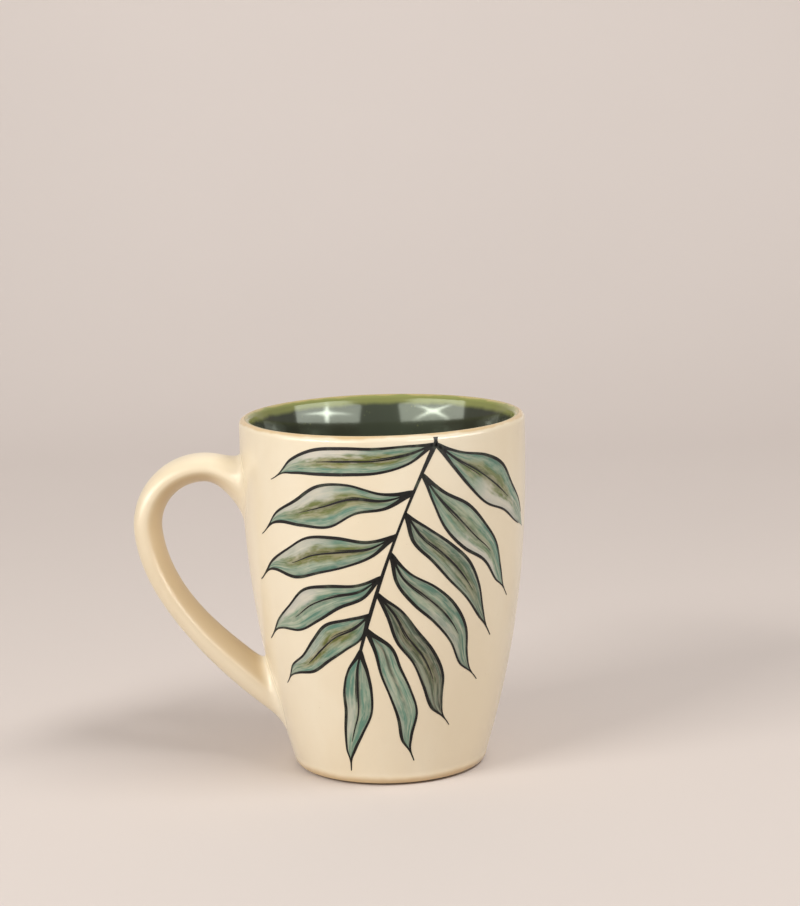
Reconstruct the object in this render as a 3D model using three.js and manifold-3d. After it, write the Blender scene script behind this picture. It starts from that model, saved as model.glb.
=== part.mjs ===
// A hand-painted stoneware mug: a jollied cup with a foot ring, a cast strap handle luted on with slip,
// and the four coats of glaze that cover them. Millimetres, +Z up.
//
// The origin is the middle of the bounding box's underside, on the plane that the foot ring stands on.
// The handle points along -X, so the cup's own axis lies on the +X side of the origin.
import * as THREE from "three";
import { mergeVertices } from "three/addons/utils/BufferGeometryUtils.js";
import Module from "manifold-3d";

// ---- Driving dimensions: the fired clay ----
const CUP_HEIGHT = 104.6; // resting plane to the top of the bare lip
const RIM_RADIUS = 41.7; // the widest, just under the lip
const FULLEST_BELOW_LIP = 7; // how far under the lip the cup is widest
const HEEL_RADIUS = 28.6; // where the belly meets the rounded heel
const HEEL_HEIGHT = 3; // height and depth of the rounded heel
const TAPER_POWER = 2.25; // 2 is a parabola; more keeps the upper wall upright for longer
const LIP_THICKNESS = 2.6; // the wall just under the lip
const WALL_THICKNESS = 5; // the wall well below the lip
const LIP_TAPER = 5.5; // depth below the lip over which the wall gains most of its thickness
const FLOOR_THICKNESS = 4.6; // clay between the recess and the inside
const FLOOR_FILLET = 9; // inside, between the floor and the wall
const FOOT_RING_WIDTH = 3.6;
const RECESS_DEPTH = 1.6; // of the underside inside the foot ring
const RECESS_FILLET = 1;

// ---- Driving dimensions: glaze and slip ----
const GLAZE = 0.4;
const DRY_FOOT_HEIGHT = 1; // bare clay left between the outer glaze and the resting plane
const SLIP_THICKNESS = 0.6; // the luting layer between a handle root and the wall
const BEAD_WIDTH = 1.2; // slip squeezed out round a root
const BEAD_HEIGHT = 1.5; // how far that bead stands off the wall
const GAP = 0.3; // left between two pieces where one is cut to the shape of the other
const ROOT_BURIED = 10; // how far a handle root runs on inside the cup before it is cut off to the wall's curve

// ---- Driving dimensions: the handle ----
const HANDLE_REACH = 32.2; // from the cup's widest to the handle's outermost point
const HANDLE_BELOW_LIP = 10.4; // from the lip down to the handle's top
const LOOP_RADIUS = 17; // of the strap's centreline round the top of the loop
const LOOP_SWEEP = 1.66; // radians of that arc, from its top round past its outermost point
const STRAP_THICKNESS = 7.5; // in the plane of the loop
const STRAP_WIDTH = 13; // across the loop
const OUTER_SQUARENESS = 2.6; // exponent of the section's outer half: 2 is an ellipse, more is squarer
const INNER_SQUARENESS = 1.6; // the same for the half that the fingers go round, which is pinched narrower
const UPPER_ROOT_BELOW_LIP = 19.9; // where the strap's centreline meets the wall
const UPPER_ROOT_SLOPE = 0.9; // radians above level, along the strap as it leaves the wall
const LOWER_ROOT_HEIGHT = 21.9;
const LOWER_ROOT_SLOPE = 0.68; // radians below level, along the strap as it meets the wall
const UPPER_FLARE = { thickness: 1.9, width: 3, length: 12.6 }; // growth of the section at a root,
const LOWER_FLARE = { thickness: 2.5, width: 2.4, length: 45 }; // and how far along the strap it fades

// ---- Facets ----
const TURN_SEGMENTS = 48;
const WALL_STEPS = 8;
const CORNER_STEPS = 3;
const STRAP_STEPS = 30;
const SECTION_SEGMENTS = 16;

const wasm = await Module();
wasm.setup();

// ---- Solids ----

// A closed geometry as a manifold-3d solid.
function toSolid(geometry) {
  const bare = new THREE.BufferGeometry()
    .setAttribute("position", geometry.getAttribute("position"))
    .setIndex(geometry.index);
  const merged = mergeVertices(bare, 1e-4);
  return new wasm.Manifold(
    new wasm.Mesh({
      numProp: 3,
      vertProperties: merged.attributes.position.array,
      triVerts: new Uint32Array(merged.index.array),
    }),
  );
}

// A manifold-3d solid as a flat-shaded geometry.
function toGeometry(solid) {
  const { vertProperties, triVerts } = solid.getMesh();
  const shared = new THREE.BufferGeometry()
    .setAttribute("position", new THREE.BufferAttribute(vertProperties, 3))
    .setIndex(new THREE.BufferAttribute(triVerts, 1));
  const flat = shared.toNonIndexed();
  flat.computeVertexNormals();
  return flat;
}

// A profile of (radius, height) points turned round the cup's axis.
function turned(profile) {
  return new THREE.LatheGeometry(profile, TURN_SEGMENTS).rotateX(Math.PI / 2);
}

// ---- Profiles ----

function arcPoints(centreX, centreY, radius, from, to, steps) {
  const points = [];
  for (let i = 0; i <= steps; i++) {
    const angle = from + ((to - from) * i) / steps;
    points.push(new THREE.Vector2(centreX + radius * Math.cos(angle), centreY + radius * Math.sin(angle)));
  }
  return points;
}

// The same line moved sideways by a distance, to the right of its direction of travel.
function offsetLine(points, distance) {
  return points.map((point, i) => {
    const along = points[Math.min(i + 1, points.length - 1)].clone().sub(points[Math.max(i - 1, 0)]).normalize();
    const moved = new THREE.Vector2(point.x + along.y * distance, point.y - along.x * distance);
    moved.x = point.x === 0 ? 0 : moved.x;
    return moved;
  });
}

// Radius of the bare clay's outside at a height above the heel.
function bellyRadius(height) {
  const fullest = CUP_HEIGHT - FULLEST_BELOW_LIP;
  const below = Math.max(0, fullest - height) / (fullest - HEEL_HEIGHT);
  return RIM_RADIUS - (RIM_RADIUS - HEEL_RADIUS) * below ** TAPER_POWER;
}

// The outside, from the dry foot's edge up to the crest of the lip.
function outerLine() {
  const heel = arcPoints(HEEL_RADIUS - HEEL_HEIGHT, HEEL_HEIGHT, HEEL_HEIGHT, -Math.PI / 2, 0, CORNER_STEPS)
    .filter((point) => point.y > DRY_FOOT_HEIGHT && point.y < HEEL_HEIGHT);
  const lipRadius = LIP_THICKNESS / 2;
  const shoulder = CUP_HEIGHT - lipRadius;
  const wall = [];
  for (let i = 0; i <= WALL_STEPS; i++) {
    const height = HEEL_HEIGHT + ((shoulder - HEEL_HEIGHT) * i) / WALL_STEPS;
    wall.push(new THREE.Vector2(bellyRadius(height), height));
  }
  const lip = arcPoints(RIM_RADIUS - lipRadius, shoulder, lipRadius, 0, Math.PI / 2, CORNER_STEPS).slice(1);
  return [dryFootEdge(), ...heel, ...wall, ...lip];
}

// The point on the heel where the outer glaze stops.
function dryFootEdge() {
  const rise = HEEL_HEIGHT - DRY_FOOT_HEIGHT;
  const run = Math.sqrt(HEEL_HEIGHT ** 2 - rise ** 2);
  return new THREE.Vector2(HEEL_RADIUS - HEEL_HEIGHT + run, DRY_FOOT_HEIGHT);
}

// The inside, from the crest of the lip down to the middle of the floor.
function innerLine() {
  const lipRadius = LIP_THICKNESS / 2;
  const shoulder = CUP_HEIGHT - lipRadius;
  const floor = RECESS_DEPTH + FLOOR_THICKNESS;
  const wallAt = (height) => {
    const thinning = (WALL_THICKNESS - LIP_THICKNESS) * Math.exp((height - shoulder) / LIP_TAPER);
    return bellyRadius(height) - WALL_THICKNESS + thinning;
  };
  const lip = arcPoints(RIM_RADIUS - lipRadius, shoulder, lipRadius, Math.PI / 2, Math.PI, CORNER_STEPS);
  const wall = [];
  for (let i = 1; i <= WALL_STEPS; i++) {
    const down = (i / WALL_STEPS) ** 1.8; // the steps are closer where the wall thins towards the lip
    const height = shoulder - (shoulder - floor - FLOOR_FILLET) * down;
    wall.push(new THREE.Vector2(wallAt(height), height));
  }
  const corner = wall[wall.length - 1];
  const fillet = new THREE.QuadraticBezierCurve(
    corner,
    new THREE.Vector2(wallAt(floor), floor),
    new THREE.Vector2(corner.x - FLOOR_FILLET, floor),
  ).getPoints(CORNER_STEPS).slice(1);
  return [...lip, ...wall, ...fillet, new THREE.Vector2(0, floor)];
}

// The underside's recess, from its middle out to the foot ring's inner edge.
function recessLine() {
  const ringInside = HEEL_RADIUS - HEEL_HEIGHT - FOOT_RING_WIDTH;
  const centre = ringInside - RECESS_FILLET;
  const fillet = arcPoints(centre, RECESS_DEPTH - RECESS_FILLET, RECESS_FILLET, Math.PI / 2, 0, CORNER_STEPS);
  return [new THREE.Vector2(0, RECESS_DEPTH), ...fillet];
}

// The clay's whole section, from the middle of the recess to the middle of the floor.
function clayProfile() {
  const ringInside = HEEL_RADIUS - HEEL_HEIGHT - FOOT_RING_WIDTH;
  const contact = [new THREE.Vector2(ringInside, 0), new THREE.Vector2(HEEL_RADIUS - HEEL_HEIGHT, 0)];
  return [...recessLine(), ...contact, ...outerLine(), ...innerLine().slice(1)];
}

// The section of a coat of glaze lying on a line, on the right of the line's direction of travel.
function coatProfile(line, thickness) {
  const surface = offsetLine(line, thickness);
  return [...surface, ...line.toReversed(), surface[0].clone()];
}

// The cup as a solid of revolution with no inside, grown by a distance: what cuts the handle roots.
function solidCore(growth) {
  const side = offsetLine(outerLine(), growth);
  const bottom = new THREE.Vector2(0, side[0].y);
  const top = new THREE.Vector2(0, side[side.length - 1].y);
  return toSolid(turned([bottom, ...side, top]));
}

// ---- Handle ----

// The strap's centreline in the plane of the loop, from inside the upper wall to inside the lower wall.
function strapLine() {
  const loopX = -(RIM_RADIUS + HANDLE_REACH - STRAP_THICKNESS / 2 - LOOP_RADIUS);
  const loopZ = CUP_HEIGHT - HANDLE_BELOW_LIP - STRAP_THICKNESS / 2 - LOOP_RADIUS;
  const upperHeight = CUP_HEIGHT - UPPER_ROOT_BELOW_LIP;
  const upper = new THREE.Vector2(-bellyRadius(upperHeight), upperHeight);
  const lower = new THREE.Vector2(-bellyRadius(LOWER_ROOT_HEIGHT), LOWER_ROOT_HEIGHT);
  const intoUpper = new THREE.Vector2(Math.cos(UPPER_ROOT_SLOPE), -Math.sin(UPPER_ROOT_SLOPE));
  const intoLower = new THREE.Vector2(Math.cos(LOWER_ROOT_SLOPE), -Math.sin(LOWER_ROOT_SLOPE));
  const loopTop = new THREE.Vector2(loopX, loopZ + LOOP_RADIUS);
  const turnEnd = Math.PI / 2 + LOOP_SWEEP;
  const leaving = new THREE.Vector2(-Math.sin(turnEnd), Math.cos(turnEnd));
  const loopEnd = new THREE.Vector2(Math.cos(turnEnd), Math.sin(turnEnd))
    .multiplyScalar(LOOP_RADIUS).add(new THREE.Vector2(loopX, loopZ));
  const third = (a, b) => a.distanceTo(b) / 3;

  const path = new THREE.Path();
  path.moveTo(...upper.clone().addScaledVector(intoUpper, ROOT_BURIED));
  path.lineTo(...upper);
  path.bezierCurveTo(
    ...upper.clone().addScaledVector(intoUpper, -third(upper, loopTop)),
    loopTop.x + third(upper, loopTop), loopTop.y,
    ...loopTop,
  );
  path.absarc(loopX, loopZ, LOOP_RADIUS, Math.PI / 2, turnEnd, false);
  path.bezierCurveTo(
    ...loopEnd.clone().addScaledVector(leaving, third(loopEnd, lower)),
    ...lower.clone().addScaledVector(intoLower, -third(loopEnd, lower)),
    ...lower,
  );
  path.lineTo(...lower.clone().addScaledVector(intoLower, ROOT_BURIED));
  return path;
}

// How much of a root's flare is left at a distance along the strap from its buried end.
function flareLeft(flare, distance) {
  const along = THREE.MathUtils.clamp((distance - ROOT_BURIED) / flare.length, 0, 1);
  return (1 + Math.cos(Math.PI * along)) / 2;
}

// The strap as a closed loft of rounded sections along its centreline, grown all round by a distance.
function strapLoft(growth) {
  const path = strapLine();
  const length = path.getLength();
  const positions = [];
  const index = [];
  for (let i = 0; i <= STRAP_STEPS; i++) {
    const share = i / STRAP_STEPS;
    const centre = path.getPointAt(share);
    const along = path.getTangentAt(share);
    const outward = new THREE.Vector2(along.y, -along.x);
    const upper = flareLeft(UPPER_FLARE, share * length);
    const lower = flareLeft(LOWER_FLARE, (1 - share) * length);
    const thickness = STRAP_THICKNESS + UPPER_FLARE.thickness * upper + LOWER_FLARE.thickness * lower;
    const width = STRAP_WIDTH + UPPER_FLARE.width * upper + LOWER_FLARE.width * lower;
    for (let k = 0; k < SECTION_SEGMENTS; k++) {
      const angle = (2 * Math.PI * k) / SECTION_SEGMENTS;
      const squareness = Math.cos(angle) > 0 ? OUTER_SQUARENESS : INNER_SQUARENESS;
      const rounded = (value) => Math.sign(value) * Math.abs(value) ** (2 / squareness);
      const out = (thickness / 2 + growth) * rounded(Math.cos(angle));
      const across = (width / 2 + growth) * rounded(Math.sin(angle));
      positions.push(centre.x + outward.x * out, across, centre.y + outward.y * out);
    }
  }
  const at = (ring, k) => ring * SECTION_SEGMENTS + (k % SECTION_SEGMENTS);
  for (let i = 0; i < STRAP_STEPS; i++) {
    for (let k = 0; k < SECTION_SEGMENTS; k++) {
      index.push(at(i, k), at(i + 1, k + 1), at(i + 1, k));
      index.push(at(i, k), at(i, k + 1), at(i + 1, k + 1));
    }
  }
  for (let k = 1; k < SECTION_SEGMENTS - 1; k++) {
    index.push(at(0, 0), at(0, k + 1), at(0, k));
    index.push(at(STRAP_STEPS, 0), at(STRAP_STEPS, k), at(STRAP_STEPS, k + 1));
  }
  return new THREE.BufferGeometry()
    .setAttribute("position", new THREE.Float32BufferAttribute(positions, 3))
    .setIndex(index);
}

// ---- Pieces cut to fit one another ----

const strap = toSolid(strapLoft(0));

// The clay strap, cut off at both ends to the curve of the wall with room for the slip.
function handleSolid() {
  return strap.subtract(solidCore(GAP + SLIP_THICKNESS + GAP));
}

// Both luting joints: a shallow dish of slip under each root, with its squeezed-out bead round it.
function slipJoints() {
  const wall = solidCore(GAP);
  const footprint = toSolid(strapLoft(BEAD_WIDTH));
  const pads = footprint.intersect(solidCore(GAP + SLIP_THICKNESS)).subtract(wall);
  const beads = footprint.intersect(solidCore(GAP + BEAD_HEIGHT)).subtract(wall)
    .subtract(toSolid(strapLoft(GAP)));
  const middle = (joint) => {
    const { min, max } = joint.boundingBox();
    return (min[2] + max[2]) / 2;
  };
  const [lower, upper] = pads.add(beads).decompose().sort((a, b) => middle(a) - middle(b));
  return { upper, lower };
}

// The glaze round the strap, from bead to bead.
function handleGlazeSolid() {
  return toSolid(strapLoft(GLAZE)).subtract(strap).subtract(solidCore(GAP + BEAD_HEIGHT + GAP));
}

// The glaze on the outside of the cup, open where the roots are luted to the bare wall.
function outerGlazeSolid() {
  return toSolid(turned(coatProfile(outerLine(), GLAZE))).subtract(toSolid(strapLoft(BEAD_WIDTH + GAP)));
}

// ---- Finishes ----

const stoneware = new THREE.MeshStandardMaterial({ color: 0xd9c49c, roughness: 0.8, metalness: 0 });
const slip = new THREE.MeshStandardMaterial({ color: 0xdccaa6, roughness: 0.75, metalness: 0 });
const creamGlaze = new THREE.MeshStandardMaterial({ color: 0xefdebf, roughness: 0.15, metalness: 0 });
const greenGlaze = new THREE.MeshStandardMaterial({ color: 0x4a4d38, roughness: 0.12, metalness: 0 });

// ---- Assembly ----

function piece(name, geometry, material) {
  const mesh = new THREE.Mesh(geometry, material);
  mesh.name = name;
  return mesh;
}

const joints = slipJoints();
const mug = new THREE.Group();
mug.add(
  piece("cup_body", turned(clayProfile()), stoneware),
  piece("handle", toGeometry(handleSolid()), stoneware),
  piece("upper_slip_joint", toGeometry(joints.upper), slip),
  piece("lower_slip_joint", toGeometry(joints.lower), slip),
  piece("outer_glaze", toGeometry(outerGlazeSolid()), creamGlaze),
  piece("handle_glaze", toGeometry(handleGlazeSolid()), creamGlaze),
  piece("liner_glaze", turned(coatProfile(innerLine(), GLAZE)), greenGlaze),
  piece("underside_glaze", turned(coatProfile(recessLine(), GLAZE)), creamGlaze),
);

const bounds = new THREE.Box3().setFromObject(mug, true);
mug.position.x = -(bounds.min.x + bounds.max.x) / 2;

const part = new THREE.Group();
part.add(mug);
export default part;
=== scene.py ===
"""A hand-painted stoneware mug: its clay, slip, glazes and brushwork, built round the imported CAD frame.

Lengths are metres. The cup stands on its foot ring, its handle is towards -X and its painted face towards -Y.
"""

from __future__ import annotations

import logging
import math
import random
from dataclasses import dataclass, field
from enum import Enum
from typing import Any, Iterator, Sequence

import bpy
from mathutils import Matrix, Vector


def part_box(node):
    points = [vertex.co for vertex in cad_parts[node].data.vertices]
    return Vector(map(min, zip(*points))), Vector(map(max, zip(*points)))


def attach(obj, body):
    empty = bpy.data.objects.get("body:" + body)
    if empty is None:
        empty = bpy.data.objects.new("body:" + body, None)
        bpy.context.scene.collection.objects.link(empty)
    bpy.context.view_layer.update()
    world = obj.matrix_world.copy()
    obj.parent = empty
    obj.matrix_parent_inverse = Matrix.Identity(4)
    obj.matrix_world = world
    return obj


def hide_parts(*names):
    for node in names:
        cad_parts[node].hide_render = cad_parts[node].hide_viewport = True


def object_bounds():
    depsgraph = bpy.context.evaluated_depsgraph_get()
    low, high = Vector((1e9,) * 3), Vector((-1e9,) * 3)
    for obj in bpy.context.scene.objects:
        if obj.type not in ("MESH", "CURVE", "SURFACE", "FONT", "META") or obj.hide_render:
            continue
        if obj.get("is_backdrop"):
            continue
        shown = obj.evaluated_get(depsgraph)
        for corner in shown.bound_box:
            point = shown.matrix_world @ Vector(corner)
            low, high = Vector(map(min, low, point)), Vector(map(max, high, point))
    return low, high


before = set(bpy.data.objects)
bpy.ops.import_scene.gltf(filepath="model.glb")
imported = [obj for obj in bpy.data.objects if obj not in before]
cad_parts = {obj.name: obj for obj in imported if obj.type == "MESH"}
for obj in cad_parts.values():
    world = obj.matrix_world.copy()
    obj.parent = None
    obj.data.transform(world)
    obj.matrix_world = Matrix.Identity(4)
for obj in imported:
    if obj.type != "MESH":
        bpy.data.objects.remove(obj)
CAD_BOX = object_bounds()

LOG = logging.getLogger("mug")
BODY = "root"
MM = 0.001

Point = tuple[float, float]
Colour = tuple[float, float, float]
Mesh, Piece = bpy.types.Mesh, bpy.types.Object
Material, Node = bpy.types.Material, bpy.types.Node
NodeTree, Socket = bpy.types.NodeTree, bpy.types.NodeSocket


def srgb(red: int, green: int, blue: int) -> Colour:
    """Turns a colour as a potter's chart gives it, 0 to 255, into the linear values that shaders take.

    Args:
        red: Red, 0 to 255.
        green: Green, 0 to 255.
        blue: Blue, 0 to 255.

    Returns:
        The linear red, green and blue.
    """

    def linear(value: int) -> float:
        """Undoes the display curve of one channel."""
        share = value / 255
        return share / 12.92 if share <= 0.04045 else ((share + 0.055) / 1.055) ** 2.4

    return linear(red), linear(green), linear(blue)


def mix(first: float, second: float, amount: float) -> float:
    """Returns the value at a share of the way from one number to another."""
    return first + (second - first) * amount


# ---- Node trees ----


class Net:
    """A short hand for wiring a shader or geometry node tree."""

    def __init__(self, tree: NodeTree) -> None:
        """Wraps a tree that is still empty or being filled.

        Args:
            tree: The tree to add nodes to.
        """
        self.tree = tree

    def node(self, kind: str, settings: dict[str, Any] | None = None, **inputs: Any) -> Node:
        """Adds a node, sets its properties, then fills or links its inputs.

        Args:
            kind: The node's type name.
            settings: Properties to set on the node itself.
            **inputs: Values or sockets by input name, with _ for a space, or i0, i1 ... by the input's place.

        Returns:
            The new node.
        """
        made = self.tree.nodes.new(kind)
        for name, value in (settings or {}).items():
            setattr(made, name, value)
        for name, value in inputs.items():
            self._fill(self._socket(made, name), value)
        return made

    @staticmethod
    def _socket(node: Node, name: str) -> Socket:
        """Finds an input of a node.

        Args:
            node: The node.
            name: Its place (i0, i1 ...), or its name among those in use.

        Returns:
            The input.
        """
        if name[0] == "i" and name[1:].isdigit():
            return node.inputs[int(name[1:])]
        wanted = name.replace("_", " ")
        return next(s for s in node.inputs if s.name == wanted and s.enabled)

    def _fill(self, socket: Socket, value: Any) -> None:
        """Links a socket into an input, or sets the input's own value.

        Args:
            socket: The input.
            value: A socket or a plain value.
        """
        if isinstance(value, Socket):
            self.tree.links.new(value, socket)
        elif socket.type == "RGBA" and len(value) == 3:
            socket.default_value = (*value, 1.0)
        else:
            socket.default_value = value

    @staticmethod
    def out(node: Node) -> Socket:
        """Returns a node's first output in use."""
        return next(s for s in node.outputs if s.enabled)

    def calc(self, operation: str, *values: Any) -> Socket:
        """Adds a Math node and returns its result."""
        places = {f"i{place}": value for place, value in enumerate(values)}
        return self.out(self.node("ShaderNodeMath", {"operation": operation}, **places))

    def xyz(self, x: Any, y: Any, z: Any) -> Socket:
        """Joins three values into a vector."""
        return self.out(self.node("ShaderNodeCombineXYZ", None, X=x, Y=y, Z=z))

    def split(self, vector: Socket) -> tuple[Socket, ...]:
        """Splits a vector into its three values."""
        return tuple(self.node("ShaderNodeSeparateXYZ", None, Vector=vector).outputs)

    def blend(self, amount: Any, first: Any, second: Any, mode: str = "MIX") -> Socket:
        """Mixes two colours.

        Args:
            amount: Share of the second colour.
            first: The colour underneath.
            second: The colour laid over it.
            mode: How the second is laid over the first.

        Returns:
            The mixed colour.
        """
        settings = {"data_type": "RGBA", "blend_type": mode, "clamp_factor": True}
        return self.node("ShaderNodeMix", settings, i0=amount, i6=first, i7=second).outputs[2]

    def fade(self, value: Any, start: Any, end: Any, low: Any = 0.0, high: Any = 1.0) -> Socket:
        """Eases from low to high while a value goes from start to end.

        Args:
            value: What is followed.
            start: Where the easing starts.
            end: Where it ends.
            low: The result at the start.
            high: The result at the end.

        Returns:
            The eased value.
        """
        settings = {"interpolation_type": "SMOOTHSTEP"}
        places = {"i0": value, "i1": start, "i2": end, "i3": low, "i4": high}
        return self.out(self.node("ShaderNodeMapRange", settings, **places))

    def noise(self, vector: Any, scale: Any, detail: float = 3.0, rough: float = 0.5) -> Socket:
        """Adds a noise that lies round 0.5 and returns its value.

        Args:
            vector: Where it is read.
            scale: How fine it is.
            detail: Number of finer layers.
            rough: Strength of the finer layers.

        Returns:
            The noise value.
        """
        grain = {"Scale": scale, "Detail": detail, "Roughness": rough}
        made = self.node("ShaderNodeTexNoise", None, Vector=vector, **grain)
        return made.outputs[0]

    def scaled(self, vector: Any, factors: Sequence[float], shift: Any = (0, 0, 0)) -> Socket:
        """Stretches a vector by three factors and shifts it."""
        settings = {"operation": "MULTIPLY_ADD"}
        return self.out(self.node("ShaderNodeVectorMath", settings, i0=vector, i1=factors, i2=shift))


class SocketKind(Enum):
    """The kinds of socket that the trees here are given and give back."""

    GEOMETRY = "NodeSocketGeometry"
    FLOAT = "NodeSocketFloat"
    INT = "NodeSocketInt"
    VECTOR = "NodeSocketVector"
    COLOUR = "NodeSocketColor"
    OBJECT = "NodeSocketObject"
    MATERIAL = "NodeSocketMaterial"


def new_tree(name: str, kind: str, takes: dict[str, SocketKind], gives: dict[str, SocketKind]) -> NodeTree:
    """Starts a node group with named sockets.

    Args:
        name: The group's name.
        kind: ShaderNodeTree or GeometryNodeTree.
        takes: Its inputs.
        gives: Its outputs.

    Returns:
        The empty group.
    """
    tree = bpy.data.node_groups.new(name, kind)
    for direction, sockets in (("INPUT", takes), ("OUTPUT", gives)):
        for label, socket in sockets.items():
            tree.interface.new_socket(name=label, in_out=direction, socket_type=socket.value)
    return tree


# ---- Meshes ----


def new_mesh(name: str, points: Sequence[Sequence[float]], faces: Sequence[Sequence[int]]) -> Mesh:
    """Makes a smooth-shaded mesh from its points and faces.

    Args:
        name: The mesh's name.
        points: Positions in metres.
        faces: Point numbers of each face, anticlockwise from outside.

    Returns:
        The new mesh.
    """
    mesh = bpy.data.meshes.new(name)
    mesh.from_pydata([tuple(p) for p in points], [], [tuple(f) for f in faces])
    mesh.shade_smooth()
    mesh.update()
    return mesh


def new_piece(name: str, mesh: Mesh, material: Material | None = None) -> Piece:
    """Puts a mesh in the scene at the origin.

    Args:
        name: The object's name.
        mesh: Its mesh.
        material: Its finish, where the mesh has none yet.

    Returns:
        The new object.
    """
    piece = bpy.data.objects.new(name, mesh)
    bpy.context.scene.collection.objects.link(piece)
    if material:
        mesh.materials.clear()
        mesh.materials.append(material)
    return piece


def baked(piece: Piece) -> Piece:
    """Turns a piece with modifiers into a plain mesh that looks the same.

    Args:
        piece: The piece, whose modifiers are all spent by this.

    Returns:
        The same piece.
    """
    graph = bpy.context.evaluated_depsgraph_get()
    shown = piece.evaluated_get(graph)
    mesh = bpy.data.meshes.new_from_object(shown, preserve_all_data_layers=True, depsgraph=graph)
    piece.modifiers.clear()
    piece.data = mesh
    mesh.shade_smooth()
    mesh.set_sharp_from_angle(angle=math.radians(50))
    return piece


def grown(piece: Piece, tree: NodeTree, values: dict[str, Any]) -> Piece:
    """Runs a geometry tree on a piece and keeps the result as its mesh.

    Args:
        piece: The piece, which holds what the tree starts from.
        tree: The geometry tree.
        values: The tree's inputs by name.

    Returns:
        The same piece.
    """
    modifier = piece.modifiers.new(tree.name, "NODES")
    modifier.node_group = tree
    for item in tree.interface.items_tree:
        if item.item_type == "SOCKET" and item.in_out == "INPUT" and item.name in values:
            modifier[item.identifier] = values[item.name]
    return baked(piece)


def thickened(piece: Piece, thickness: float) -> Piece:
    """Gives an open skin a thickness behind its face.

    Args:
        piece: The skin.
        thickness: How thick it gets.

    Returns:
        The same piece.
    """
    modifier = piece.modifiers.new("thickness", "SOLIDIFY")
    modifier.thickness = thickness
    modifier.offset = -1
    return baked(piece)


def tube_faces(rings: int, around: int, closed: bool = False) -> list[tuple[int, ...]]:
    """Joins rings of points into quads.

    Args:
        rings: Number of rings.
        around: Points in each ring.
        closed: True to join the last ring to the first.

    Returns:
        The faces.
    """
    faces = []
    for ring in range(rings if closed else rings - 1):
        for k in range(around):
            here, there = ring * around, (ring + 1) % rings * around
            after = (k + 1) % around
            faces.append((here + k, here + after, there + after, there + k))
    return faces


# ---- The thrown form ----


def arc(centre: Point, radius: float, start: float, end: float, steps: int) -> list[Point]:
    """Returns the points of an arc, with angles in radians anticlockwise from +X."""
    angles = (mix(start, end, i / steps) for i in range(steps + 1))
    return [(centre[0] + radius * math.cos(a), centre[1] + radius * math.sin(a)) for a in angles]


def offset_line(line: Sequence[Point], distance: float) -> list[Point]:
    """Moves a line sideways, to the right of its direction of travel.

    Args:
        line: Points of (radius, height).
        distance: How far it moves.

    Returns:
        The moved line. A point on the axis stays on it.
    """
    moved = []
    for i, (radius, height) in enumerate(line):
        before, after = line[max(i - 1, 0)], line[min(i + 1, len(line) - 1)]
        run, rise = after[0] - before[0], after[1] - before[1]
        length = math.hypot(run, rise)
        new_radius = 0.0 if radius == 0 else radius + rise / length * distance
        moved.append((new_radius, height - run / length * distance))
    return moved


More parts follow.
